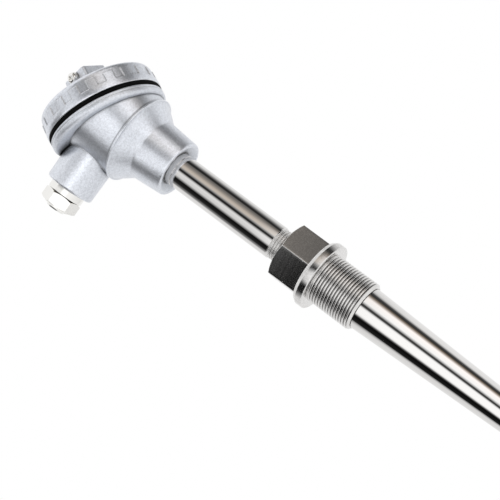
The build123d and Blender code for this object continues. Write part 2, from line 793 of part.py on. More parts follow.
with BuildPart() as earth_screw:
    with BuildSketch(Plane.XY.offset(earth_z + washer_h)):
        with PolarLocations(earth_from_axis, 1, earth_angle):
            Circle(earth_washer_side / 2)
    extrude(amount=strip_screw_head_h)
    with BuildSketch(Plane.XY.offset(earth_z + washer_h)):
        with PolarLocations(earth_from_axis, 1, earth_angle):
            Circle(m4_d / 2)
    extrude(amount=-earth_screw_l)
    with BuildSketch(Plane.XY.offset(earth_z + washer_h + strip_screw_head_h)):
        with PolarLocations(earth_from_axis, 1, earth_angle):
            Rectangle(pan_slot_w, earth_washer_side)
    extrude(amount=-pan_slot_depth, mode=Mode.SUBTRACT)
finish(earth_screw, "earth_screw")

print("cover axis through", opening_centre, "along", opening_normal)
print("cover travel", cover_pitch * cover_turns, "nut travel", nut_pitch * nut_turns)
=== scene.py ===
# %% [markdown]
# A screw-in temperature sensor: a die-cast head with a tilted screw cover, a cable gland at its
# side, a polished pipe, a hexagon fitting with its thread, and a conical tube below. This file
# dresses the finished solids for a studio picture. It works in the solids' own frame: the probe
# stands along Z, the head is up, and the origin is at the collar's sealing face. The studio is
# written in metres, and the sensor's pieces in millimetres, which MM carries to metres.

# %% The frame
import json
from math import atan, cos, pi, radians, sin, sqrt, tan

import bmesh
import bpy
from mathutils import Matrix, Vector


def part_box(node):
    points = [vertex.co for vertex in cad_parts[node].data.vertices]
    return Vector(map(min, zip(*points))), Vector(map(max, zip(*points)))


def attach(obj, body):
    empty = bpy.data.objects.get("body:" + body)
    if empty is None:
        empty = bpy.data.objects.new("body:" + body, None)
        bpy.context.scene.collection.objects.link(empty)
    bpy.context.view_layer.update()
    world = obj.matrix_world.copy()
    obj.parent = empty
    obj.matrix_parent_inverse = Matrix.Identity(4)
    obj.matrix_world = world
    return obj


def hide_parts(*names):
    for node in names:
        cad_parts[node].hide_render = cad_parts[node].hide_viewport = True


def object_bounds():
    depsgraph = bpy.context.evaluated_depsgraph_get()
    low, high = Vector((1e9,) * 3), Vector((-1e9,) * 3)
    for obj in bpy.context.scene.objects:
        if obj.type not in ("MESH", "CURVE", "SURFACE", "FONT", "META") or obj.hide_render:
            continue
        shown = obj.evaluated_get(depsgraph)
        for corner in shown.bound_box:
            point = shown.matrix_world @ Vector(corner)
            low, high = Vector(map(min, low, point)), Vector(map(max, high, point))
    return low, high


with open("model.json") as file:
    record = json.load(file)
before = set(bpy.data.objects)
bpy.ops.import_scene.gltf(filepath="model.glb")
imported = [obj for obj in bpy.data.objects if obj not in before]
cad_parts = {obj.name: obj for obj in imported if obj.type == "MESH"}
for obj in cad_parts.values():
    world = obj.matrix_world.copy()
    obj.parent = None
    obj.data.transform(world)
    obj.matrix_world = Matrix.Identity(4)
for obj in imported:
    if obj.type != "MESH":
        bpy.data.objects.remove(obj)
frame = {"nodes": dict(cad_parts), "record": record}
nodes = frame["nodes"]
solid_low, solid_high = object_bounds()
MM = 0.001


# %% Helpers: objects and axes
def new_object(name, data):
    """An object in the scene."""
    item = bpy.data.objects.new(name, data)
    bpy.context.scene.collection.objects.link(item)
    return item


def axes_at(place, x, y, z):
    """The matrix that carries a piece to a place and turns it to three axes."""
    return Matrix.Translation(place) @ Matrix((x, y, z)).transposed().to_4x4()



# %% [markdown]
# The camera looks up at the sensor from a little below, turned on its side so that the probe runs
# down to the right. It could be placed by typing a matrix, but a target, a distance and three
# angles say the same in words: azimuth 0 looks along +Y, and a negative elevation looks up.

# %% Camera
AZIMUTH = radians(4)
ELEVATION = radians(-18.39)
ROLL = radians(-53.07)
DISTANCE = 1100 * MM
TARGET = Vector((-13.3, -0.9, 48.6)) * MM
FOCAL_PIXELS = 1795
FRAME_PIXELS = 500
SENSOR_WIDTH = 36
FARTHEST = 20

forward = Vector((-sin(AZIMUTH) * cos(ELEVATION), cos(AZIMUTH) * cos(ELEVATION), -sin(ELEVATION)))
level = Vector((cos(AZIMUTH), sin(AZIMUTH), 0))
above = level.cross(forward)
right = level * cos(ROLL) + above * sin(ROLL)
up = above * cos(ROLL) - level * sin(ROLL)
camera_data = bpy.data.cameras.new("camera")
camera_data.sensor_width = SENSOR_WIDTH
camera_data.lens = FOCAL_PIXELS * SENSOR_WIDTH / FRAME_PIXELS
camera_data.clip_end = FARTHEST
camera = new_object("camera", camera_data)
camera.matrix_world = axes_at(TARGET - forward * DISTANCE, right, up, -forward)
bpy.context.scene.camera = camera
print("camera at", [round(v, 3) for v in camera.location], "lens", round(camera_data.lens, 1))

# %% [markdown]
# Materials are node trees. A few helpers keep them readable: one starts a material with its
# Principled shader, one adds a node and sets or links its sockets, and the others each stand for
# one node that is used often: arithmetic, a mix of two colours, a colour ramp.

# %% Material helpers
MIX_FACTOR, MIX_FIRST, MIX_SECOND, MIX_RESULT = 0, 6, 7, 2  # the Mix node's sockets for colours


def put(tree, node, socket, value):
    """Set an input by name or number: a socket is linked, anything else is its plain value."""
    if isinstance(value, bpy.types.NodeSocket):
        tree.links.new(value, node.inputs[socket])
    else:
        node.inputs[socket].default_value = value


def add_node(tree, kind, **sockets):
    """A node of that kind; each keyword sets the input of that name, with _ for a space."""
    node = tree.nodes.new(kind)
    for name, value in sockets.items():
        put(tree, node, name.replace("_", " "), value)
    return node


def calculated(tree, kind, operation, *values):
    """A Math or Vector Math node with its inputs in order."""
    node = tree.nodes.new(kind)
    node.operation = operation
    for index, value in enumerate(values):
        put(tree, node, index, value)
    return node


def math_node(tree, operation, *values):
    """One step of arithmetic, as a Math node's output."""
    return calculated(tree, "ShaderNodeMath", operation, *values).outputs[0]


def mixed(tree, factor, first, second, blend="MIX"):
    """Two colours mixed by a mask, or blended in another way."""
    node = tree.nodes.new("ShaderNodeMix")
    node.data_type = "RGBA"
    node.blend_type = blend
    put(tree, node, MIX_FACTOR, factor)
    for socket, colour in ((MIX_FIRST, first), (MIX_SECOND, second)):
        put(tree, node, socket, (*colour, 1) if isinstance(colour, tuple) else colour)
    return node.outputs[MIX_RESULT]


def times(tree, first, second):
    """Two colours multiplied."""
    return mixed(tree, 1.0, first, second, "MULTIPLY")


def ramp(tree, factor, stops, smooth=True):
    """A colour ramp: stops are (place, level) or (place, colour)."""
    node = tree.nodes.new("ShaderNodeValToRGB")
    node.color_ramp.interpolation = "EASE" if smooth else "LINEAR"
    elements = node.color_ramp.elements
    for index, (place, level) in enumerate(stops):
        element = elements[index] if index < 2 else elements.new(place)
        element.position = place
        element.color = (*level, 1) if isinstance(level, tuple) else (level, level, level, 1)
    put(tree, node, "Fac", factor)
    return node.outputs["Color"]


def new_material(name, colour, metallic, roughness):
    """A material with its Principled shader, and the node tree to build on."""
    material = bpy.data.materials.new(name)
    material.use_nodes = True
    shader = material.node_tree.nodes["Principled BSDF"]
    shader.inputs["Base Color"].default_value = (*colour, 1)
    shader.inputs["Metallic"].default_value = metallic
    shader.inputs["Roughness"].default_value = roughness
    return material, material.node_tree, shader


# %% [markdown]
# Polished metal shows its surroundings more than itself, so the studio is designed first. Such
# parts are photographed inside a white tent with black strips hung in it: the strips are what
# draws the dark lines along a bright tube. The tent here is a wall round the sensor that only
# reflections see. Its brightness is a ramp over the compass, counted from the camera: white cloth
# at both front quarters, a black strip at each side, a dark gap where the camera looks in, and
# plain pale cloth behind. Higher up the front cloth is duller, and warm on the right, so the pipe
# and the head get a second ramp, and the two melt into each other at the height of the pipe.

# %% Lighting tent
TENT_RADIUS = 0.9
TENT_LOW, TENT_HIGH = -0.42, 1.1
TENT_SIDES = 96
TENT_LEVEL = 1.5
BLEND_FROM, BLEND_TO = 0.08, 0.34
LOW_CLOTH = (
    (-180, 0.66), (-104, 0.60), (-95, 0.38),  # pale cloth behind
    (-87, 0.01), (-58, 0.002), (-52, 0.10),  # left strip
    (-44, 0.76), (-36, 0.88), (-8, 0.86), (-3, 0.60),  # left front quarter
    (2, 0.05), (10, 0.03), (17, 0.46),  # gap at the camera
    (25, 0.84), (50, (0.92, 0.88, 0.86)), (58, (0.50, 0.45, 0.42)),  # right front quarter
    (66, (0.16, 0.13, 0.10)), (75, 0.02), (88, 0.06), (97, 0.44),  # right strip
    (106, 0.66), (180, 0.68),  # pale cloth behind
)
HIGH_CLOTH = (
    (-180, 0.66), (-112, 0.60), (-104, 0.22),  # pale cloth behind
    (-84, 0.015), (-56, 0.003), (-48, 0.20),  # left strip
    (-38, 0.54), (-14, 0.64), (-6, 0.36),  # left front quarter
    (0, 0.02), (10, 0.012), (18, 0.22),  # gap at the camera
    (26, (0.46, 0.42, 0.38)), (38, (0.45, 0.40, 0.35)), (50, (0.27, 0.245, 0.22)),  # right, warm
    (64, (0.15, 0.14, 0.13)), (72, (0.11, 0.105, 0.10)), (79, 0.015), (92, 0.02),  # right strip
    (104, 0.16), (116, 0.40), (132, 0.60), (180, 0.66),  # pale cloth behind
)


def compass(tree):
    """The shaded point's turn round Z, from 0 behind through 0.5 in front to 1, and its height."""
    place = add_node(tree, "ShaderNodeTexCoord").outputs["Object"]
    parts = add_node(tree, "ShaderNodeSeparateXYZ", Vector=place)
    towards = math_node(tree, "MULTIPLY", parts.outputs["Y"], -1.0)
    angle = math_node(tree, "ARCTAN2", parts.outputs["X"], towards)
    return math_node(tree, "MULTIPLY_ADD", angle, 1 / (2 * pi), 0.5), parts.outputs["Z"]


def cloth(tree, turn, stops):
    """One ramp over the compass, its stops given in degrees from the camera."""
    return ramp(tree, turn, [((angle + 180) / 360, level) for angle, level in stops], smooth=False)


def evenly(count):
    """That many angles round the circle."""
    return [2 * pi * k / count for k in range(count)]


tent_material = bpy.data.materials.new("tent_cloth")
tent_material.use_nodes = True
tree = tent_material.node_tree
tree.nodes.clear()
turn, height = compass(tree)
rise = add_node(tree, "ShaderNodeMapRange", Value=height, From_Min=BLEND_FROM, From_Max=BLEND_TO)
rise.interpolation_type = "SMOOTHSTEP"
colour = mixed(tree, rise.outputs["Result"], cloth(tree, turn, LOW_CLOTH), cloth(tree, turn, HIGH_CLOTH))
glow = add_node(tree, "ShaderNodeEmission", Color=colour, Strength=TENT_LEVEL)
add_node(tree, "ShaderNodeOutputMaterial", Surface=glow.outputs[0])

tent_mesh = bpy.data.meshes.new("tent")
tent_mesh.from_pydata(
    [(TENT_RADIUS * cos(a), TENT_RADIUS * sin(a), z) for z in (TENT_LOW, TENT_HIGH) for a in evenly(TENT_SIDES)],
    [],
    [(k, (k + 1) % TENT_SIDES, (k + 1) % TENT_SIDES + TENT_SIDES, k + TENT_SIDES) for k in range(TENT_SIDES)],
)
tent = new_object("tent", tent_mesh)
tent.data.materials.append(tent_material)
tent.rotation_euler.z = AZIMUTH
for ray in ("camera", "diffuse", "transmission", "volume_scatter", "shadow"):
    setattr(tent, "visible_" + ray, False)
print("tent", TENT_SIDES, "sides,", len(LOW_CLOTH), "stops low and", len(HIGH_CLOTH), "high")

# %% [markdown]
# The background is white by its colour: the world is strength 1 to the camera and to reflections,
# and a softer grey to everything else, so it doesn't wash the sensor out. A pale floor lies well
# below, because the camera looks up and the sensor hangs in its socket in use. It is wide, so
# that its far edge stays out of pictures taken from above. Two soft lamps give the satin castings
# a light side.

# %% World, floor and lamps
WORLD_LEVEL = 0.8
FLOOR_BELOW = 0.25
FLOOR_SIZE = 40
FLOOR_COLOUR, FLOOR_ROUGHNESS = (0.86, 0.86, 0.86), 0.9
LAMP_AIM = Vector((0, 0, 0.1))
STUDIO_LAMP_SIZE = 0.8

world = bpy.data.worlds.new("studio")
world.use_nodes = True
tree = world.node_tree
tree.nodes.clear()
rays = add_node(tree, "ShaderNodeLightPath")
seen = math_node(tree, "MAXIMUM", rays.outputs["Is Camera Ray"], rays.outputs["Is Glossy Ray"])
seen = math_node(tree, "MAXIMUM", seen, rays.outputs["Is Transmission Ray"])
strength = math_node(tree, "MULTIPLY_ADD", seen, 1 - WORLD_LEVEL, WORLD_LEVEL)
background = add_node(tree, "ShaderNodeBackground", Color=(1, 1, 1, 1), Strength=strength)
add_node(tree, "ShaderNodeOutputWorld", Surface=background.outputs[0])
bpy.context.scene.world = world

half = FLOOR_SIZE / 2
floor_z = solid_low.z - FLOOR_BELOW
corners = ((-half, -half), (half, -half), (half, half), (-half, half))
floor_mesh = bpy.data.meshes.new("floor")
floor_mesh.from_pydata([(x, y, floor_z) for x, y in corners], [], [(0, 1, 2, 3)])
floor = new_object("floor", floor_mesh)
floor.data.materials.append(new_material("floor_pale", FLOOR_COLOUR, 0, FLOOR_ROUGHNESS)[0])


def lamp(name, place, size, watts, only=None):
    """A soft square lamp that shines at the head; one for a collection only shines on that."""
    data = bpy.data.lights.new(name, "AREA")
    data.size = size
    data.energy = watts
    lamp_object = new_object(name, data)
    lamp_object.location = Vector(place)
    lamp_object.rotation_euler = (LAMP_AIM - lamp_object.location).to_track_quat("-Z", "Y").to_euler()
    lamp_object.visible_glossy = only is not None
    lamp_object.visible_camera = False
    if only:
        lamp_object.light_linking.receiver_collection = only


lamp("lamp_left", (-1.1, -1.2, 0.9), STUDIO_LAMP_SIZE, 14)
lamp("lamp_right", (1.3, -0.7, 1.0), STUDIO_LAMP_SIZE, 9)
print("floor at", round(floor_z, 3))

# %% [markdown]
# Colour management stays plain: the Standard transform shows each colour as it was written.

# %% Colour management
bpy.context.scene.view_settings.view_transform = "Standard"

# %% [markdown]
# Shared finishes are node groups, built once and placed in each material with its own values. The
# first is fine grain: two sizes of noise added together, as height for a Bump node and for flecks
# in the colour, and a large cloud besides. A casting that was shot blasted, moulded rubber and
# unglazed ceramic all use it at their own scale.

# %% Group: fine grain
COARSE_SCALE = 0.37
FINE_SHARE = 0.6


def new_group(name, inputs, outputs):
    """An empty shader group with the named sockets: (name, default) inputs and output names."""
    group = bpy.data.node_groups.new(name, "ShaderNodeTree")
    for label, default in inputs:
        socket = group.interface.new_socket(label, in_out="INPUT", socket_type="NodeSocketFloat")
        socket.default_value = default
    for label in outputs:
        group.interface.new_socket(label, in_out="OUTPUT", socket_type="NodeSocketFloat")
    print("group", name, [socket.name for socket in group.interface.items_tree])
    return group, add_node(group, "NodeGroupInput"), add_node(group, "NodeGroupOutput")


def noise(tree, scale, detail=2.0, stretch=None):
    """Noise over the object's own coordinates, stretched along its axes if asked."""
    place = add_node(tree, "ShaderNodeTexCoord").outputs["Object"]
    if stretch:
        place = calculated(tree, "ShaderNodeVectorMath", "MULTIPLY", place, stretch).outputs[0]
    return add_node(tree, "ShaderNodeTexNoise", Vector=place, Scale=scale, Detail=detail).outputs["Fac"]


grain, entry, exit_node = new_group(
    "fine grain", (("Scale", 1500.0), ("Cloud Scale", 60.0)), ("Height", "Cloud")
)
fine = noise(grain, entry.outputs["Scale"])
coarse = noise(grain, math_node(grain, "MULTIPLY", entry.outputs["Scale"], COARSE_SCALE))
fine_part = math_node(grain, "MULTIPLY", fine, FINE_SHARE)
coarse_part = math_node(grain, "MULTIPLY", coarse, 1 - FINE_SHARE)
put(grain, exit_node, "Height", math_node(grain, "ADD", fine_part, coarse_part))
put(grain, exit_node, "Cloud", noise(grain, entry.outputs["Cloud Scale"], 4.0))

# %% [markdown]
# The second is a painted edge highlight: where two faces meet, castings and turned parts have a small rounding,
# and a thin bright line is painted on it in place of the highlight it catches. Cycles' Bevel node gives the
# rounded normal, and the angle between it and the true normal is the mask.

# %% Group: painted edge highlight
EDGE_GAIN = 9.0

edges, entry, exit_node = new_group("painted edge highlight", (("Radius", 0.0006),), ("Mask",))
rounded = add_node(edges, "ShaderNodeBevel", Radius=entry.outputs["Radius"]).outputs[0]
true_normal = add_node(edges, "ShaderNodeNewGeometry").outputs["Normal"]
likeness = calculated(edges, "ShaderNodeVectorMath", "DOT_PRODUCT", rounded, true_normal).outputs["Value"]
spread = math_node(edges, "SUBTRACT", 1.0, likeness)
mask = math_node(edges, "MINIMUM", math_node(edges, "MULTIPLY", spread, EDGE_GAIN), 1.0)
put(edges, exit_node, "Mask", mask)

# %% [markdown]
# The third is painted shade in recesses: an inner corner or a thread's root is darkened in its colour, where
# shade falls. The Ambient Occlusion node says how open a point is within a small reach. Below one openness the
# painted shade is at its darkest, above another there is none.

# %% Group: painted recess shade
FEW_SAMPLES = 6

recesses, entry, exit_node = new_group(
    "painted recess shade",
    (("Reach", 0.0016), ("Dark From", 0.5), ("Dark Level", 0.15), ("Clear From", 0.95)),
    ("Shade",),
)
openness = add_node(recesses, "ShaderNodeAmbientOcclusion", Distance=entry.outputs["Reach"])
openness.samples = FEW_SAMPLES
shade = add_node(
    recesses, "ShaderNodeMapRange", Value=openness.outputs["AO"],
    From_Min=entry.outputs["Dark From"], From_Max=entry.outputs["Clear From"],
    To_Min=entry.outputs["Dark Level"], To_Max=1.0,
)
put(recesses, exit_node, "Shade", shade.outputs[0])

# %% [markdown]
# The fourth is the mark of turning. Polishing on a lathe leaves faint rings round the axis, so
# the noise is stretched flat: long round the axis, short along it.

# %% Group: turning rings
RING_STRETCH = (0.02, 0.02, 1.0)

turning, entry, exit_node = new_group("turning rings", (("Scale", 900.0),), ("Height",))
put(turning, exit_node, "Height", noise(turning, entry.outputs["Scale"], 3.0, RING_STRETCH))


# %% Helpers: a group and a bump in a material
def place_group(tree, group, **values):
    """A group in a material, with its own values."""
    node = tree.nodes.new("ShaderNodeGroup")
    node.node_tree = group
    for name, value in values.items():
        put(tree, node, name.replace("_", " "), value)
    return node


def bumped(tree, height, strength, distance, normal=None):
    """A Bump node's normal."""
    node = add_node(tree, "ShaderNodeBump", Strength=strength, Distance=distance, Height=height)
    if normal is not None:
        put(tree, node, "Normal", normal)
    return node.outputs["Normal"]


# %% [markdown]
# The castings are aluminium alloy, shot blasted and lacquered: a bluish silver that is half mirror and half mist.
# Metallic with a broad gloss gives the soft dark bands on the neck, and the grain breaks the light into a fine
# sparkle. A thin bright line is painted along rounded edges as their highlight, and painted shade darkens the
# colour in recesses and inner corners. The flange's rim is duller than the rest, because it is turned after
# casting and lacquered thickly.

# %% Material: cast alloy
CAST_DARK, CAST_LIGHT = (0.71, 0.74, 0.80), (0.80, 0.825, 0.88)
# The colour of the painted highlight along edges.
CAST_EDGE_HIGHLIGHT = (0.95, 0.96, 0.98)
CAST_METALLIC = 0.85
CAST_GRAIN, CAST_CLOUD = 1950.0, 70.0
CAST_FLECK = ((0.42, 0.78), (0.58, 1.0))
CAST_HIGHLIGHT_RADIUS, CAST_SOFT_RADIUS = 0.0005, 0.0007
# Painted shade in recesses: a near reach for crevices and a far one for broad inner corners.
CAST_PAINTED_SHADE = (
    {"Reach": 0.0016, "Dark_From": 0.5, "Dark_Level": 0.15, "Clear_From": 0.95},
    {"Reach": 0.008, "Dark_From": 0.3, "Dark_Level": 0.5, "Clear_From": 0.85},
)


def make_cast(name, roughness):
    """Shot-blasted, lacquered casting."""
    material, tree, shader = new_material(name, CAST_LIGHT, CAST_METALLIC, roughness)
    texture = place_group(tree, grain, Scale=CAST_GRAIN, Cloud_Scale=CAST_CLOUD)
    # A painted highlight: the colour is lightened to a bright line along rounded edges.
    painted_highlight = place_group(tree, edges, Radius=CAST_HIGHLIGHT_RADIUS)
    shaded = mixed(tree, texture.outputs["Cloud"], CAST_DARK, CAST_LIGHT)
    shaded = times(tree, shaded, ramp(tree, texture.outputs["Height"], CAST_FLECK, smooth=False))
    # Painted shade: the colour is darkened in recesses and inner corners, by ambient occlusion at two reaches.
    for values in CAST_PAINTED_SHADE:
        shaded = times(tree, shaded, place_group(tree, recesses, **values).outputs["Shade"])
    put(tree, shader, "Base Color", mixed(tree, painted_highlight.outputs["Mask"], shaded, CAST_EDGE_HIGHLIGHT))
    soft_edge = add_node(tree, "ShaderNodeBevel", Radius=CAST_SOFT_RADIUS)
    soft_edge.samples = FEW_SAMPLES
    put(tree, shader, "Normal", bumped(tree, texture.outputs["Height"], 0.5, 0.0003, soft_edge.outputs[0]))
    return material


cast_alloy = make_cast("cast_alloy", 0.28)
cast_rim = make_cast("cast_rim", 0.44)

# %% [markdown]
# The pipe, fitting and tube are stainless steel. One recipe makes four finishes of it: the pipe and the tube are
# polished like a mirror, the fitting is only turned, with a painted highlight along its edges and a fine speckle,
# its thread is cut and has painted shade in its roots, and the pipe's thread is rolled, with a painted highlight
# on its crests.

# %% Material: steel
STEEL_COLOUR = (0.74, 0.73, 0.72)
# The colour of the painted highlight along edges and crests.
STEEL_EDGE_HIGHLIGHT = (0.95, 0.95, 0.94)
STEEL_GRAIN, STEEL_CLOUD = 1500.0, 90.0
STEEL_FLECK = ((0.40, 0.82), (0.62, 1.0))
# The radius of the painted edge highlight.
STEEL_HIGHLIGHT_RADIUS = 0.0006
# Painted shade in a thread's roots.
THREAD_ROOT_PAINTED_SHADE = {"Reach": 0.0012, "Dark_From": 0.3, "Dark_Level": 0.2, "Clear_From": 0.75}
SMOOTHEST, ROUGHEST = 0.7, 1.4  # shares of a finish's roughness
RING_DEPTH = 0.0001


def make_steel(name, roughness, ring_scale, ring_strength, painted_highlight=0.0, roots=False):
    """Turned and polished steel, with a painted edge highlight or painted shade in thread roots if asked."""
    material, tree, shader = new_material(name, STEEL_COLOUR, 1.0, roughness)
    if painted_highlight:
        speck = place_group(tree, grain, Scale=STEEL_GRAIN, Cloud_Scale=STEEL_CLOUD)
        speckled = times(tree, STEEL_COLOUR, ramp(tree, speck.outputs["Height"], STEEL_FLECK))
        # A painted highlight along edges and crests: lighter colour, and less metallic so that it shows from
        # every side.
        painted_edge_mask = place_group(tree, edges, Radius=STEEL_HIGHLIGHT_RADIUS).outputs["Mask"]
        mask = math_node(tree, "MULTIPLY", painted_edge_mask, painted_highlight)
        put(tree, shader, "Base Color", mixed(tree, mask, speckled, STEEL_EDGE_HIGHLIGHT))
        put(tree, shader, "Metallic", math_node(tree, "SUBTRACT", 1.0, mask))
    if roots:
        # Painted shade: the colour is darkened in the thread's roots, by ambient occlusion.
        shade = place_group(tree, recesses, **THREAD_ROOT_PAINTED_SHADE).outputs["Shade"]
        put(tree, shader, "Base Color", times(tree, STEEL_COLOUR, shade))
    rings = place_group(tree, turning, Scale=ring_scale).outputs["Height"]
    rough = add_node(
        tree, "ShaderNodeMapRange", Value=rings, To_Min=roughness * SMOOTHEST, To_Max=roughness * ROUGHEST
    )
    put(tree, shader, "Roughness", rough.outputs[0])
    put(tree, shader, "Normal", bumped(tree, rings, ring_strength, RING_DEPTH))
    return material


polished_steel = make_steel("polished_steel", 0.05, 1400.0, 0.03)
turned_steel = make_steel("turned_steel", 0.15, 900.0, 0.12, painted_highlight=0.95)
thread_steel = make_steel("thread_steel", 0.25, 900.0, 0.08, roots=True)
rolled_steel = make_steel("rolled_steel", 0.35, 900.0, 0.05, painted_highlight=0.95)

# %% [markdown]
# The gland and the small screws are brass under bright nickel, a warmer and softer mirror than
# steel. The sealing ring is black rubber, nearly without gloss. The pieces inside the head are
# hidden in the picture, and they get plain finishes of the same recipe.

# %% Materials: nickel, rubber and the inner pieces
CLOUD_SHARE = 0.05
CLOUD_LEVEL = 0.88
GRAIN_DEPTH = 0.0001


def make_plain(name, colour, metallic, roughness, scale, strength):
    """A finish with only fine grain and a slight cloud in its colour."""
    material, tree, shader = new_material(name, colour, metallic, roughness)
    texture = place_group(tree, grain, Scale=scale, Cloud_Scale=scale * CLOUD_SHARE)
    darker = tuple(channel * CLOUD_LEVEL for channel in colour)
    put(tree, shader, "Base Color", mixed(tree, texture.outputs["Cloud"], darker, colour))
    put(tree, shader, "Normal", bumped(tree, texture.outputs["Height"], strength, GRAIN_DEPTH))
    return material


finishes = {name: make_plain(name, *values) for name, values in {
    "nickel_plate": ((0.92, 0.91, 0.885), 1.0, 0.10, 2500.0, 0.08),
    "black_rubber": ((0.002, 0.002, 0.002), 0.0, 0.9, 3000.0, 0.2),
    "zinc_plate": ((0.72, 0.73, 0.74), 1.0, 0.28, 2500.0, 0.1),
    "brass": ((0.80, 0.60, 0.28), 1.0, 0.25, 2500.0, 0.1),
    "ceramic": ((0.84, 0.80, 0.72), 0.0, 0.55, 1800.0, 0.15),
    "sheath_alloy": ((0.46, 0.44, 0.42), 1.0, 0.35, 2500.0, 0.1),
    "lead_wire": ((0.60, 0.57, 0.50), 1.0, 0.3, 2500.0, 0.1),
}.items()}
finishes.update(cast_alloy=cast_alloy, polished_steel=polished_steel)
nickel, black_rubber = finishes["nickel_plate"], finishes["black_rubber"]
black_rubber.node_tree.nodes["Principled BSDF"].inputs["Specular IOR Level"].default_value = 0.1
for part in frame["record"]["subparts"]:
    mesh = nodes[part["node"]].data
    mesh.materials.clear()
    mesh.materials.append(finishes[part["material_slot"]])
print("finishes", len(finishes))

# %% [markdown]
# Turned pieces are made from their outline. An outline drawn with sharp corners looks like
# paper, so each corner is eased with a small arc first, as a lathe hand would break it.

# %% Helper: ease an outline's corners
SAME_POINT = 1e-9
NEARLY_STRAIGHT = 0.05
LARGEST_SHARE = 0.4  # of a side that one arc may take


def eased(outline, radius, steps=4, closed=True):
    """The outline's points (radius, height) with an arc at each corner, as large as its sides allow."""
    points = [Vector(p) for p in outline]
    result = []
    for k, corner in enumerate(points):
        before, after = points[k - 1] - corner, points[(k + 1) % len(points)] - corner
        shorter = min(before.length, after.length)
        cut = 0.0
        if (closed or 0 < k < len(points) - 1) and shorter > SAME_POINT:
            angle = before.angle(after)
            if angle < pi - NEARLY_STRAIGHT:
                cut = min(radius / tan(angle / 2), LARGEST_SHARE * shorter)
        if cut <= 0:
            result.append(corner)
            continue
        start, end = corner + before.normalized() * cut, corner + after.normalized() * cut
        for step in range(steps + 1):
            t = step / steps
            result.append(start.lerp(corner, t).lerp(corner.lerp(end, t), t))
    return [tuple(p) for p in result]


# %% [markdown]
# One grid makes every turned piece, the hexagons and the threads too. Its rows follow the
# outline and its columns go round the axis. A row may be a number pair, for a plain circle, or a
# function of the angle, for a hexagon's flats or a thread's helix. The last row joins the first,
# so the piece is closed, and rows of radius 0 close a solid one.

# %% Helper: a closed grid round an axis
WELD_WITHIN = 2e-7
NO_AREA = 1e-7
TURNED_SHARP, CAST_SHARP, SOFT_SHARP = 32, 24, 60  # degrees from which an edge stays sharp


def weld(mesh):
    """Join doubled points, drop faces without area and turn all faces outwards."""
    work = bmesh.new()
    work.from_mesh(mesh)
    bmesh.ops.remove_doubles(work, verts=work.verts, dist=WELD_WITHIN)
    bmesh.ops.dissolve_degenerate(work, dist=NO_AREA, edges=work.edges)
    bmesh.ops.recalc_face_normals(work, faces=work.faces)
    work.to_mesh(mesh)
    work.free()
    return mesh


def grid(name, rows, angles, place):
    """A mesh from rows round an axis; place carries (x, y, z) in metres to the frame."""
    vertices = []
    for row in rows:
        for angle in angles:
            point = row(angle) if callable(row) else row
            if len(point) == 2:
                point = (point[0] * cos(angle), point[0] * sin(angle), point[1])
            vertices.append(place @ (Vector(point) * MM))
    count, columns = len(rows), len(angles)
    faces = []
    for i in range(count):
        j = (i + 1) % count
        for k in range(columns):
            n = (k + 1) % columns
            faces.append((i * columns + k, i * columns + n, j * columns + n, j * columns + k))
    mesh = bpy.data.meshes.new(name)
    mesh.from_pydata(vertices, [], faces)
    return weld(mesh)


def settle(name, mesh, material, node, sharp):
    """Shade smooth but for sharp edges, ride with the node's body and stand for the node."""
    mesh.polygons.foreach_set("use_smooth", [True] * len(mesh.polygons))
    mesh.set_sharp_from_angle(angle=radians(sharp))
    mesh.materials.clear()
    mesh.materials.append(material)
    piece = new_object(name, mesh)
    body = next(b for b, members in frame["record"]["behaviour"]["bodies"].items() if node in members)
    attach(piece, body)
    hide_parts(node)
    print(name, len(mesh.polygons), "faces")
    return piece


def turned(name, rows, angles, place, material, node, sharp=TURNED_SHARP):
    """A closed grid as a finished piece."""
    return settle(name, grid(name, rows, angles, place), material, node, sharp)


upright = Matrix.Identity(4)

# %% [markdown]
# A hexagon seen from its axis has one formula: the flat's distance divided by the cosine of the
# angle from the flat's middle. Near a corner a small rounding takes over, and the grid gets more
# columns there, so the corner catches a clean bright line.

# %% Helper: hexagon
CORNER_STEPS, FLAT_STEPS = 4, 16


def hexagon(across_flats, turn, rounding):
    """(radius at an angle, the angles to use) for a hexagon with rounded corners, one at turn."""
    apothem = across_flats / 2
    reach = (apothem - rounding) / cos(pi / 6)
    limit = atan(rounding / 2 / (reach + rounding * cos(pi / 6)))

    def radius(angle):
        off = (angle - turn + pi / 6) % (pi / 3) - pi / 6
        if abs(off) < limit:
            return reach * cos(off) + sqrt(rounding**2 - (reach * sin(off)) ** 2)
        return apothem / cos(pi / 6 - abs(off))

    steps = [limit * k / CORNER_STEPS for k in range(-CORNER_STEPS, CORNER_STEPS + 1)]
    steps += [limit + (pi / 3 - 2 * limit) * k / FLAT_STEPS for k in range(1, FLAT_STEPS)]
    return radius, [turn + corner * pi / 3 + step for corner in range(6) for step in steps]


# %% [markdown]
# The fitting is one bar of steel: hexagon above, sealing collar, and a parallel thread below.
# The thread is cut into the same grid: along a row, the radius falls and rises with the helix,
# one turn per pitch. A cosine raised to a power keeps the crests broad and the roots narrow
# without a hard edge, which would step from column to column. It fades out at the collar as a
# real tool leaves it.

# %% Helpers: thread
THREAD_STEPS = 24


def helix(major, depth, pitch, start, stop, fade, root, end_chamfer=0.0):
    """Rows of a cut thread from start down to stop; a greater root power makes narrower roots."""

    def row(height):
        def shape(angle):
            phase = height / pitch - angle / (2 * pi)
            groove = depth * (0.5 - 0.5 * cos(2 * pi * phase)) ** root
            groove *= min(1.0, (start - height) / fade)
            chamfer = max(0.0, end_chamfer - (height - stop))
            return min(major - groove, major - chamfer), height
        return shape

    count = int((start - stop) / pitch * THREAD_STEPS)
    return [row(start + (stop - start) * k / count) for k in range(count + 1)]


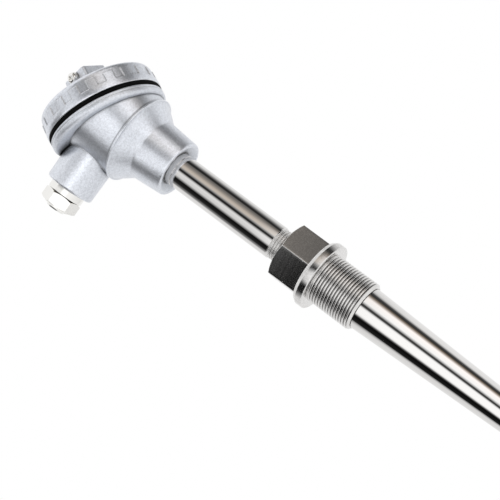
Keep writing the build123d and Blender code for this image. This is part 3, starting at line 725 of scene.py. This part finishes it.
def cut_below(piece, height, material):
    """Give the faces below a height the finish of a thread."""
    piece.data.materials.append(material)
    for face in piece.data.polygons:
        face.material_index = int(face.center.z < height * MM)


# %% Process fitting
THREAD_R, THREAD_PITCH, THREAD_DEPTH, THREAD_ROOT = 16.5, 2.0, 1.0, 2.2
THREAD_RELIEF, THREAD_FADE, THREAD_CHAMFER = 0.2, 1.2, 1.6
COLLAR_H, COLLAR_BEVEL, COLLAR_FOOT, COLLAR_EASE = 5.0, 2.0, 0.4, 0.3
HEX_AF, HEX_TURN, HEX_CORNER = 36.0, radians(36), 0.7
HEX_BEVEL_SLOPE, HEX_BEVEL_FROM = tan(radians(30)), 0.15
PIPE_BORE_R, PIPE_BORE_EDGE = 10.5, 0.6
TUBE_SOCKET_R, TUBE_SOCKET_L = 10.05, 24.1
INSERT_BORE_R = 4.0
CLEARANCE = 0.1

low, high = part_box("process_fitting")
pipe_low, pipe_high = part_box("extension_pipe")
hex_top = high.z / MM
thread_end = low.z / MM
collar_r = high.x / MM
collar_top = COLLAR_H + COLLAR_BEVEL
pipe_end, pipe_top = pipe_low.z / MM, pipe_high.z / MM
pipe_seat = pipe_end - CLEARANCE
socket_top = thread_end + TUBE_SOCKET_L
hex_radius, hex_angles = hexagon(HEX_AF, HEX_TURN, HEX_CORNER)
hex_rim = HEX_AF / 2 - HEX_BEVEL_FROM

rows = [
    (PIPE_BORE_R, hex_top - PIPE_BORE_EDGE), (PIPE_BORE_R + PIPE_BORE_EDGE, hex_top), (hex_rim - 0.2, hex_top),
    lambda a: (hex_radius(a), hex_top - (hex_radius(a) - hex_rim) * HEX_BEVEL_SLOPE - 0.02),
    lambda a: (hex_radius(a), collar_top + 0.35),
    lambda a: (hex_radius(a) + 0.1, collar_top + 0.05),
]
rows += eased(
    [(collar_r - COLLAR_BEVEL + 0.6, collar_top), (collar_r - 0.5, COLLAR_H + 0.5),
     (collar_r, COLLAR_H - 0.2), (collar_r, COLLAR_FOOT), (collar_r - COLLAR_FOOT, 0.0),
     (THREAD_R + 0.3, 0.0), (THREAD_R, -THREAD_RELIEF)],
    COLLAR_EASE, closed=False,
)
rows += helix(THREAD_R, THREAD_DEPTH, THREAD_PITCH, -THREAD_RELIEF, thread_end, THREAD_FADE,
              THREAD_ROOT, THREAD_CHAMFER)
rows += [(TUBE_SOCKET_R, thread_end), (TUBE_SOCKET_R, socket_top), (INSERT_BORE_R, socket_top),
         (INSERT_BORE_R, pipe_seat), (PIPE_BORE_R, pipe_seat)]
fitting = turned("fitting_turned", rows, hex_angles, upright, turned_steel, "process_fitting")
cut_below(fitting, 0.0, thread_steel)

# %% [markdown]
# The pipe screws into the hexagon. A few crests of its thread stay in view above it, then a
# short shoulder, the polished length, and a fine groove just under the head.

# %% Extension pipe
PIPE_THREAD_R, PIPE_PITCH, PIPE_THREAD_DEPTH, PIPE_THREAD_ROOT = 10.45, 1.814, 0.8, 1.5
PIPE_THREAD_SEEN, PIPE_THREAD_SUNK, PIPE_THREAD_FADE = 8, 3, 1.0
PIPE_WALL = 2.5
PIPE_SHOULDER = 0.5
PIPE_EASE = 0.15
GROOVE_BELOW_NECK, GROOVE_DEPTH = 1.2, 0.35
PIPE_COLUMNS = evenly(144)

neck_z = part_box("head_body")[0].z / MM
pipe_r = pipe_high.x / MM
shoulder_z = hex_top + PIPE_THREAD_SEEN
groove_top = neck_z - GROOVE_BELOW_NECK
thread_stop = hex_top - PIPE_THREAD_SUNK
rows = [(pipe_r - PIPE_WALL, pipe_end), (pipe_r - PIPE_WALL, pipe_top), (pipe_r, pipe_top)]
rows += eased(
    [(pipe_r, pipe_top), (pipe_r, groove_top), (pipe_r - GROOVE_DEPTH, groove_top - 0.1),
     (pipe_r - GROOVE_DEPTH, groove_top - 0.6), (pipe_r, groove_top - 0.7),
     (pipe_r, shoulder_z + PIPE_SHOULDER), (PIPE_THREAD_R, shoulder_z)],
    PIPE_EASE, closed=False,
)[1:]
rows += helix(PIPE_THREAD_R, PIPE_THREAD_DEPTH, PIPE_PITCH, shoulder_z - 0.1, thread_stop, PIPE_THREAD_FADE,
              PIPE_THREAD_ROOT)
rows += [(PIPE_THREAD_R, thread_stop - 0.2), (PIPE_THREAD_R, pipe_end)]
pipe = turned("pipe_polished", rows, PIPE_COLUMNS, upright, polished_steel, "extension_pipe")
cut_below(pipe, shoulder_z, rolled_steel)

# %% [markdown]
# The tube below is bored from the top and closed at its tip. Its cone is straight, and the tip's
# edge is rounded so that it doesn't dig in when it is dropped into a pocket.

# %% Protection tube
TUBE_STEM_R, TUBE_EDGE, TUBE_FOOT = 10.0, 0.3, 0.4
TUBE_TIP_R, TUBE_TIP_ROUND, TUBE_TIP_WALL = 8.8, 2.5, 8.0
TUBE_GAP = 0.05
CONE_ROWS = 12

low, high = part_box("protection_tube")
cone_r = high.x / MM
tube_tip, tube_top = low.z / MM, high.z / MM
cone_top, cone_end = thread_end - TUBE_FOOT, tube_tip + TUBE_TIP_ROUND
quarter = [pi / 2 * k / 8 for k in range(9)]
rows = [(INSERT_BORE_R, tube_top), (TUBE_STEM_R - TUBE_EDGE, tube_top), (TUBE_STEM_R, tube_top - TUBE_EDGE),
        (TUBE_STEM_R, thread_end - TUBE_GAP), (cone_r - TUBE_EDGE, thread_end - TUBE_GAP), (cone_r, cone_top)]
rows += [(cone_r + (TUBE_TIP_R - cone_r) * k / CONE_ROWS, cone_top + (cone_end - cone_top) * k / CONE_ROWS)
         for k in range(1, CONE_ROWS)]
rows += [(TUBE_TIP_R - TUBE_TIP_ROUND * (1 - cos(a)), tube_tip + TUBE_TIP_ROUND * (1 - sin(a))) for a in quarter]
rows += [(0.0, tube_tip), (0.0, tube_tip + TUBE_TIP_WALL), (INSERT_BORE_R, tube_tip + TUBE_TIP_WALL)]
turned("tube_polished", rows, PIPE_COLUMNS, upright, polished_steel, "protection_tube")

# %% [markdown]
# The head has two more axes: the tilted one of its opening and cover, and the level one of its
# cable boss and gland. Each gets a matrix that carries a piece turned about its own Z to its
# place, so those pieces can be drawn upright like all others.

# %% Frames of the tilted opening and of the gland
TILT = radians(24.3)
OPENING_X = -1.0
OPENING_ABOVE_NECK = 60.4
BOSS_BELOW_OPENING = 6.5
BOSS_REACH = 51.5

opening_normal = Vector((sin(TILT), 0, cos(TILT)))
downhill = Vector((cos(TILT), 0, -sin(TILT)))
opening_centre = Vector((OPENING_X, 0, neck_z + OPENING_ABOVE_NECK)) * MM
opening = axes_at(opening_centre, downhill, (0, 1, 0), opening_normal)
boss_z = neck_z + OPENING_ABOVE_NECK - BOSS_BELOW_OPENING
gland = axes_at(Vector((-BOSS_REACH, 0, boss_z)) * MM, (0, -1, 0), (0, 0, 1), (-1, 0, 0))
print("opening at", [round(v, 4) for v in opening_centre], "boss at", round(boss_z, 2))

# %% [markdown]
# The head is a casting, so its forms run into each other: a neck and a cone about the probe's
# axis, a bowl that goes over from the round shoulder to the tilted opening, and the cable boss.
# Each is made as its own closed grid, and a Boolean joins them and cuts the inside out. One grid
# for all would need a seam by hand wherever two forms meet.


# %% Helpers: join and cut meshes
def carved(name, base, added, cut):
    """The base mesh with the added ones joined to it and the cut ones taken out."""
    work = new_object(name, base)
    helpers = []
    for operation, meshes in (("UNION", added), ("DIFFERENCE", cut)):
        group = bpy.data.collections.new(name + operation)
        bpy.context.scene.collection.children.link(group)
        for mesh in meshes:
            helper = bpy.data.objects.new(mesh.name, mesh)
            group.objects.link(helper)
            helpers.append(helper)
        modifier = work.modifiers.new(operation, "BOOLEAN")
        modifier.operation = operation
        modifier.solver = "MANIFOLD"
        modifier.operand_type = "COLLECTION"
        modifier.collection = group
    bpy.context.view_layer.update()
    result = bpy.data.meshes.new_from_object(work.evaluated_get(bpy.context.evaluated_depsgraph_get()))
    for helper in helpers + [work]:
        bpy.data.objects.remove(helper)
    for operation in ("UNION", "DIFFERENCE"):
        bpy.data.collections.remove(bpy.data.collections[name + operation])
    return weld(result)


def solid(name, outline, angles, place):
    """A solid of revolution from an outline whose ends are closed to the axis."""
    return grid(name, [(0.0, outline[0][1])] + list(outline) + [(0.0, outline[-1][1])], angles, place)


def peg(name, x, y, radius, low, high, count):
    """An upright round peg, to be joined or cut out."""
    place = Matrix.Translation(Vector((x, y, 0)) * MM)
    return grid(name, [(0, low), (radius, low), (radius, high), (0, high)], evenly(count), place)


# %% [markdown]
# The outside comes first. The neck, the cone and the bead at its top are rows of circles. The
# bowl's rows go from a level circle to the tilted one: every point moves on a straight line, as
# the wall of such a casting does. The boss is a second solid that reaches into the bowl.

# %% Head: outside
WALL = 3.2
NECK_R_END, NECK_R_TOP, NECK_EDGE = 19.0, 20.8, 1.4
NECK_H, CONE_H = 22.0, 13.0
BEAD_H, BEAD_OUT = 1.6, 0.9
SHOULDER_R, BOWL_R, BOWL_TOP_R = 29.3, 28.3, 33.6
BOWL_SHIFT, BOWL_BELOW, BOWL_SUNK = 3.6, 3.0, 0.6
BOWL_ROWS = 24
BOSS_R, BOSS_EDGE, BOSS_DRAFT, BOSS_SUNK = 16.3, 1.6, tan(radians(0.8)), 32.8

neck_top = neck_z + NECK_H
shoulder = neck_top + CONE_H
round_columns = evenly(160)


def bowl_row(share, low_z, low_r, high_r, shift):
    """A row between the level circle at the shoulder and the tilted circle at the opening."""

    def point(angle):
        low = Vector((low_r * cos(angle), low_r * sin(angle), low_z))
        high = opening @ (Vector((shift + high_r * cos(angle), high_r * sin(angle), -BOWL_BELOW)) * MM) / MM
        return tuple(low.lerp(high, share))

    return point


skin = [(0.0, neck_z)] + eased(
    [(NECK_R_END - 4, neck_z), (NECK_R_END, neck_z), (NECK_R_TOP, neck_top),
     (SHOULDER_R - 0.35, shoulder - BEAD_H), (SHOULDER_R + BEAD_OUT, shoulder - BEAD_H + 0.15),
     (SHOULDER_R + BEAD_OUT, shoulder), (BOWL_R, shoulder)],
    NECK_EDGE, closed=False,
)
skin += [bowl_row(k / BOWL_ROWS, shoulder - BOWL_SUNK, BOWL_R, BOWL_TOP_R, BOWL_SHIFT)
         for k in range(1, BOWL_ROWS + 1)]
skin += [bowl_row(1, shoulder, 0, 0, 0)]
boss = [(BOSS_R - BOSS_EDGE * (1 - sin(a)), -BOSS_EDGE * (1 - cos(a))) for a in quarter]
boss += [(BOSS_R + BOSS_DRAFT * BOSS_SUNK, -BOSS_SUNK)]
print("skin", len(skin), "rows, boss", len(boss), "rows")

# %% [markdown]
# The inside is cut with shapes of its own: the chamber, which follows the bowl at the wall's
# thickness, the tilted opening, the pipe's socket and the gland's hole. The chamber's floor
# carries two posts for the block's screws and one for the earth screw, each with its blind hole.

# %% Head: inside
SPIGOT_R, SPIGOT_H = 35.5, 8.9
FLOOR_ABOVE_NECK = 29.5
BOWL_INSIDE_SHIFT = 2.1
CHAMBER_ROWS = 12
MOUTH_R, MOUTH_DEPTH, MOUTH_EDGE = 17.0, 3.0, 0.4
PIPE_HOLE_R, INSERT_HOLE_R = 11.05, 8.0
GLAND_THREAD_R, GLAND_THREAD_L, GLAND_THREAD_EDGE = 10.05, 11.1, 0.4
CORE_R, CORE_PAST_WALL = 9.0, 6
POST_R, POST_Y, POST_H = 4.0, 14.0, 9.0
EARTH_R, EARTH_H, EARTH_FROM_AXIS, EARTH_TURN = 3.4, 11.0, 21.9, radians(135)
SCREW_R, SCREW_DEPTH = 2.05, 6.0
POST_COLUMNS, SCREW_COLUMNS = 32, 24
PAST = 1.0  # how far a cut goes on past the face that it opens

chamber_floor = neck_z + FLOOR_ABOVE_NECK
inside_r = BOWL_TOP_R - WALL - (BOWL_SHIFT - BOWL_INSIDE_SHIFT)
chamber = [(0.0, chamber_floor), (BOWL_R - 2 * WALL, chamber_floor), (BOWL_R - WALL, shoulder + BOWL_SUNK)]
chamber += [bowl_row(k / CHAMBER_ROWS, shoulder + BOWL_SUNK, BOWL_R - WALL, inside_r, BOWL_INSIDE_SHIFT)
            for k in range(1, CHAMBER_ROWS + 1)]
chamber += [bowl_row(1, shoulder, 0, 0, BOWL_INSIDE_SHIFT)]
opening_hole = [(SPIGOT_R - WALL, -BOWL_BELOW - 0.02), (SPIGOT_R - WALL, SPIGOT_H + PAST)]
pipe_hole = [(MOUTH_R + MOUTH_EDGE, neck_z - 0.2), (MOUTH_R, neck_z), (PIPE_HOLE_R, neck_z + MOUTH_DEPTH),
             (PIPE_HOLE_R, pipe_top + CLEARANCE), (INSERT_HOLE_R, pipe_top + CLEARANCE),
             (INSERT_HOLE_R, chamber_floor + CLEARANCE)]
boss_hole = [(GLAND_THREAD_R + 0.5, 0.2), (GLAND_THREAD_R, -GLAND_THREAD_EDGE), (GLAND_THREAD_R, -GLAND_THREAD_L),
             (CORE_R, -GLAND_THREAD_L), (CORE_R, BOWL_R + 2 * WALL - BOSS_REACH - CORE_PAST_WALL)]
posts = (
    (0, POST_Y, POST_R, POST_H),
    (0, -POST_Y, POST_R, POST_H),
    (EARTH_FROM_AXIS * cos(EARTH_TURN), EARTH_FROM_AXIS * sin(EARTH_TURN), EARTH_R, EARTH_H),
)
print("chamber", len(chamber), "rows,", len(posts), "posts")

# %% Head body
carving = carved(
    "head", grid("head_skin", skin, round_columns, upright), [solid("boss", boss, round_columns, gland)],
    [grid("chamber", chamber, round_columns, upright),
     solid("opening_hole", opening_hole, round_columns, opening),
     solid("pipe_hole", pipe_hole, round_columns, upright),
     solid("boss_hole", boss_hole, evenly(96), gland)],
)
carving = carved(
    "posts", carving,
    [peg("post", x, y, r, chamber_floor - PAST, chamber_floor + h, POST_COLUMNS) for x, y, r, h in posts],
    [peg("screw_hole", x, y, SCREW_R, chamber_floor + h - SCREW_DEPTH, chamber_floor + h + PAST, SCREW_COLUMNS)
     for x, y, r, h in posts],
)
head = settle("head_casting", carving, cast_alloy, "head_body", CAST_SHARP)

# %% [markdown]
# The flange is a ring of its own that sinks into the bowl's wall. Joined by the Boolean too, its
# long faces would be split into slivers, and polished rims show slivers as streaks. Its hidden
# inner edge follows the middle of the bowl's wall, so nothing of it shows inside the head.

# %% Flange
FLANGE_R, FLANGE_H, FLANGE_ROUND, FLANGE_EASE = 39.3, 6.3, 3.0, 0.35
LINE_BELOW, LINE_DEPTH, TOP_EDGE = 2.0, 0.35, 0.6

wall_r, wall_shift = (BOWL_TOP_R + inside_r) / 2, (BOWL_SHIFT + BOWL_INSIDE_SHIFT) / 2


def sunk_row(height):
    """A circle in the middle of the bowl's wall, at a height about the opening."""
    return lambda angle: (wall_shift + wall_r * cos(angle), wall_r * sin(angle), height)


rows = [sunk_row(-BOWL_BELOW), sunk_row(-FLANGE_H)]
rows += [(FLANGE_R - FLANGE_ROUND * (1 - sin(a)), -FLANGE_H + FLANGE_ROUND * (1 - cos(a))) for a in quarter]
rows += eased(
    [(FLANGE_R, FLANGE_ROUND - FLANGE_H), (FLANGE_R, -LINE_BELOW - LINE_DEPTH),
     (FLANGE_R - LINE_DEPTH, -LINE_BELOW), (FLANGE_R, -LINE_BELOW + LINE_DEPTH),
     (FLANGE_R, -TOP_EDGE), (FLANGE_R - TOP_EDGE, 0), (SPIGOT_R, 0), (SPIGOT_R, SPIGOT_H),
     (SPIGOT_R - WALL, SPIGOT_H), (SPIGOT_R - WALL, -BOWL_BELOW)],
    FLANGE_EASE, closed=False,
)[1:]
flange_piece = turned("flange_ring", rows, round_columns, opening, cast_rim, "head_body", CAST_SHARP)

# %% [markdown]
# The cover is one grid about the tilted axis, inside and outside. Its grip band is a square wave:
# a tooth is a share of one step of the circle, and it stands out by a fixed depth between two
# heights. Columns are set close at each tooth's edges, so the edges stay crisp with few faces.
# The grip on top is the same grid with a rounded square in place of the circle.

# %% Cover: sizes
TOOTH_COUNT, TOOTH_SHARE, TOOTH_TURN = 20, 0.51, radians(-2.5)
TOOTH_FROM, TOOTH_H, TOOTH_DEPTH = 4.8, 6.2, 0.6
COVER_R, COVER_DRAFT = 39.7, tan(radians(3.0))
SKIRT, COVER_H, COVER_ROUND, COVER_TOP = 2.9, 15.3, 3.0, 2.7
COVER_INSIDE_R, COVER_INSIDE_EASE = 33.0, 0.4
COVER_THREAD_R, COVER_THREAD_L = 35.75, 9.6
GRIP_HALF, GRIP_H, GRIP_TURN, GRIP_DRAFT = 10.6, 16.1, radians(-26.7), tan(radians(2.0))
GRIP_CORNER, GRIP_EDGE, GRIP_FOOT = 1.6, 1.0, 0.8
GRIP_WALL, GRIP_TOP_WALL = 3.4, 6.4
EDGE = 0.14  # half the width of a tooth's slanting edge

low_tooth = SKIRT + TOOTH_FROM
high_tooth = low_tooth + TOOTH_H
cover_top = SKIRT + COVER_H
ceiling = cover_top - COVER_TOP
grip_top = cover_top + GRIP_H
rim_z = cover_top - COVER_ROUND
rim_r = COVER_R - (rim_z - SKIRT) * COVER_DRAFT - TOOTH_DEPTH
half_tooth = pi / TOOTH_COUNT * TOOTH_SHARE
edge_turn = EDGE / COVER_R


# %% Cover: rows and columns
def slope(value, width):
    """0 up to nothing, 1 from the width on, straight between."""
    return min(1.0, max(0.0, value / width))


def side_row(height):
    """A row of the cover's tapered side: set back, but full at the lower band and at the teeth."""

    def point(angle):
        away = abs((angle - TOOTH_TURN + pi / TOOTH_COUNT) % (2 * pi / TOOTH_COUNT) - pi / TOOTH_COUNT)
        tooth = slope(half_tooth + edge_turn - away, 2 * edge_turn) * slope(high_tooth + EDGE - height, 2 * EDGE)
        band = slope(low_tooth + EDGE - height, 2 * EDGE)
        full = COVER_R - (height - SKIRT) * COVER_DRAFT
        return full - TOOTH_DEPTH * (1 - max(tooth, band)), height

    return point


def square_row(half, corner, height):
    """A row round a rounded square."""

    def point(angle):
        off = (angle - GRIP_TURN + pi / 4) % (pi / 2) - pi / 4
        reach = half / cos(off)
        if abs(half * tan(off)) > half - corner:
            centre = (half - corner) * sqrt(2)
            spread = pi / 4 - abs(off)
            reach = centre * cos(spread) + sqrt(max(0.0, corner**2 - (centre * sin(spread)) ** 2))
        return reach, height

    return point


columns = []
gap_end = 2 * pi / TOOTH_COUNT - half_tooth
for k in range(TOOTH_COUNT):
    middle = TOOTH_TURN + 2 * pi * k / TOOTH_COUNT
    columns += [middle + step / 4 * (half_tooth - edge_turn) for step in range(-4, 5)]
    columns += [middle + half_tooth + edge_turn + step / 4 * (gap_end - half_tooth - 2 * edge_turn)
                for step in range(5)]
print("cover", TOOTH_COUNT, "teeth on", len(columns), "columns")

# %% Cover
rows = [(COVER_R - TOOTH_DEPTH, SKIRT), (COVER_R - 0.3, SKIRT + 0.2)]
rows += [side_row(z) for z in (
    SKIRT + TOOTH_DEPTH + 0.3, SKIRT + 3, low_tooth - EDGE, low_tooth + EDGE, low_tooth + 2,
    high_tooth - 2, high_tooth - EDGE, high_tooth + EDGE,
)]
rows += [(rim_r - COVER_ROUND * (1 - cos(a)), rim_z + COVER_ROUND * sin(a)) for a in quarter]
rows += [(rim_r - 8, cover_top), (GRIP_HALF * 1.45, cover_top)]
rows += [square_row(GRIP_HALF + GRIP_FOOT * (1 - sin(a)), GRIP_CORNER + GRIP_FOOT,
                    cover_top + GRIP_FOOT * (1 - cos(a))) for a in quarter[::2]]
top_half = GRIP_HALF - GRIP_DRAFT * (GRIP_H - GRIP_EDGE)
rows += [square_row(top_half - GRIP_EDGE * (1 - cos(a)), GRIP_CORNER, grip_top - GRIP_EDGE * (1 - sin(a)))
         for a in quarter]
rows += [square_row(top_half / 2, GRIP_CORNER / 2, grip_top), (0, grip_top), (0, grip_top - GRIP_TOP_WALL)]
hollow = GRIP_HALF - GRIP_WALL
hollow_top = hollow - GRIP_DRAFT * (GRIP_H - GRIP_TOP_WALL)
rows += [square_row(hollow_top, GRIP_CORNER, grip_top - GRIP_TOP_WALL), square_row(hollow, GRIP_CORNER, ceiling)]
rows += [(COVER_INSIDE_R / 2, ceiling)]
rows += eased(
    [(COVER_INSIDE_R - 4, ceiling), (COVER_INSIDE_R, ceiling), (COVER_INSIDE_R, SKIRT + COVER_THREAD_L),
     (COVER_THREAD_R, SKIRT + COVER_THREAD_L), (COVER_THREAD_R, SKIRT)],
    COVER_INSIDE_EASE, closed=False,
)
cover = turned("cover_casting", rows, columns, opening, cast_alloy, "head_cover", CAST_SHARP)

# %% [markdown]
# A casting's satin skin wants its own light. Four small lamps shine on the castings only, so they
# draw broad highlights on the cone, the boss, the cover and the bowl and leave the steel's
# stripes alone. Each is placed by the compass and a height, where the mirror of that surface
# looks.

# %% Lamps for the castings
LAMP_RADIUS, CASTING_LAMP_SIZE = 0.8, 0.35

castings = bpy.data.collections.new("castings")
for piece in (head, flange_piece, cover):
    castings.objects.link(piece)
for name, compass_angle, height, watts in (
    ("lamp_cone", 34, -0.50, 1.1),
    ("lamp_boss", -6, -0.05, 0.30),
    ("lamp_cover", 54, 0.30, 0.28),
    ("lamp_bowl", -52, 0.42, 0.50),
):
    angle = AZIMUTH + radians(compass_angle)
    place = (LAMP_RADIUS * sin(angle), -LAMP_RADIUS * cos(angle), height)
    lamp(name, place, CASTING_LAMP_SIZE, watts, castings)

# %% [markdown]
# The gasket is a soft ring between the flange and the cover, so its edges bulge a little. It has
# four corners, and a large easing makes them round.

# %% Gasket
GASKET_R, GASKET_WALL, GASKET_LOW, GASKET_H, GASKET_ROUND = 39.3, 3.5, 0.1, 2.7, 0.9

gasket_high = GASKET_LOW + GASKET_H
outline = eased(
    [(GASKET_R - GASKET_WALL, GASKET_LOW), (GASKET_R, GASKET_LOW),
     (GASKET_R, gasket_high), (GASKET_R - GASKET_WALL, gasket_high)],
    GASKET_ROUND, 6,
)
turned("gasket_ring", outline, round_columns, opening, black_rubber, "cover_gasket", SOFT_SHARP)

# %% [markdown]
# The gland is a round flange with a stem that screws into the boss, and a hexagon nut with a
# shallow dome. The hexagon's corners are cut by a cone at both ends, as on any turned nut.

# %% Gland body
GLAND_STEM_R, GLAND_STEM_L = 10.0, 11.0
GLAND_FLANGE_R, GLAND_FLANGE_H = 12.15, 4.8
GLAND_SPIGOT_R, GLAND_RIM, GLAND_EASE = 8.6, 12.3, 0.35
GLAND_CUP_R, GLAND_CUP_FLOOR, GLAND_BORE_R = 7.0, 5.3, 5.2

outline = eased(
    [(GLAND_STEM_R, -GLAND_STEM_L), (GLAND_STEM_R, CLEARANCE), (GLAND_FLANGE_R, CLEARANCE),
     (GLAND_FLANGE_R, GLAND_FLANGE_H), (GLAND_SPIGOT_R, GLAND_FLANGE_H), (GLAND_SPIGOT_R, GLAND_RIM),
     (GLAND_CUP_R, GLAND_RIM), (GLAND_CUP_R, GLAND_CUP_FLOOR), (GLAND_BORE_R, GLAND_CUP_FLOOR),
     (GLAND_BORE_R, -GLAND_STEM_L)],
    GLAND_EASE,
)
turned("gland_flange", outline, evenly(96), gland, nickel, "gland_body")

# %% Gland nut
NUT_AF, NUT_TURN, NUT_CORNER, NUT_BEVEL_FROM = 22.0, radians(7), 0.4, 0.1
NUT_FROM, NUT_H = 5.1, 8.1
NUT_DOME, NUT_DOME_IN, NUT_DOME_RIM, NUT_DOME_POWER = 2.4, 0.7, 1.2, 0.6
NUT_HOLE_R, NUT_HOLE_EDGE = 5.0, 0.3
NUT_CAVITY_R, NUT_CAVITY_TOP, NUT_CAVITY_EDGE = 8.85, 14.1, 0.2

nut_radius, nut_angles = hexagon(NUT_AF, NUT_TURN, NUT_CORNER)
nut_rim = NUT_AF / 2 - NUT_BEVEL_FROM
nut_end = NUT_FROM + NUT_H
nut_top = nut_end + NUT_DOME
dome_r = NUT_AF / 2 - NUT_DOME_IN


def nut_row(level, sign):
    """A row where the hexagon's flats meet the cone that cuts its corners."""
    return lambda a: (nut_radius(a), level - sign * (nut_radius(a) - nut_rim) * HEX_BEVEL_SLOPE)


rows = [(NUT_CAVITY_R + NUT_CAVITY_EDGE, NUT_FROM), (nut_rim, NUT_FROM), nut_row(NUT_FROM, -1),
        nut_row(nut_end, 1), (nut_rim, nut_end)]
rows += [(dome_r + (NUT_HOLE_R + NUT_DOME_RIM - dome_r) * sin(a),
          nut_end + NUT_DOME * (1 - cos(a)) ** NUT_DOME_POWER) for a in quarter]
rows += [(NUT_HOLE_R + NUT_HOLE_EDGE, nut_top), (NUT_HOLE_R, nut_top - NUT_HOLE_EDGE),
         (NUT_HOLE_R, NUT_CAVITY_TOP), (NUT_CAVITY_R, NUT_CAVITY_TOP), (NUT_CAVITY_R, NUT_FROM + NUT_CAVITY_EDGE)]
turned("gland_nut_turned", rows, nut_angles, gland, nickel, "gland_nut")
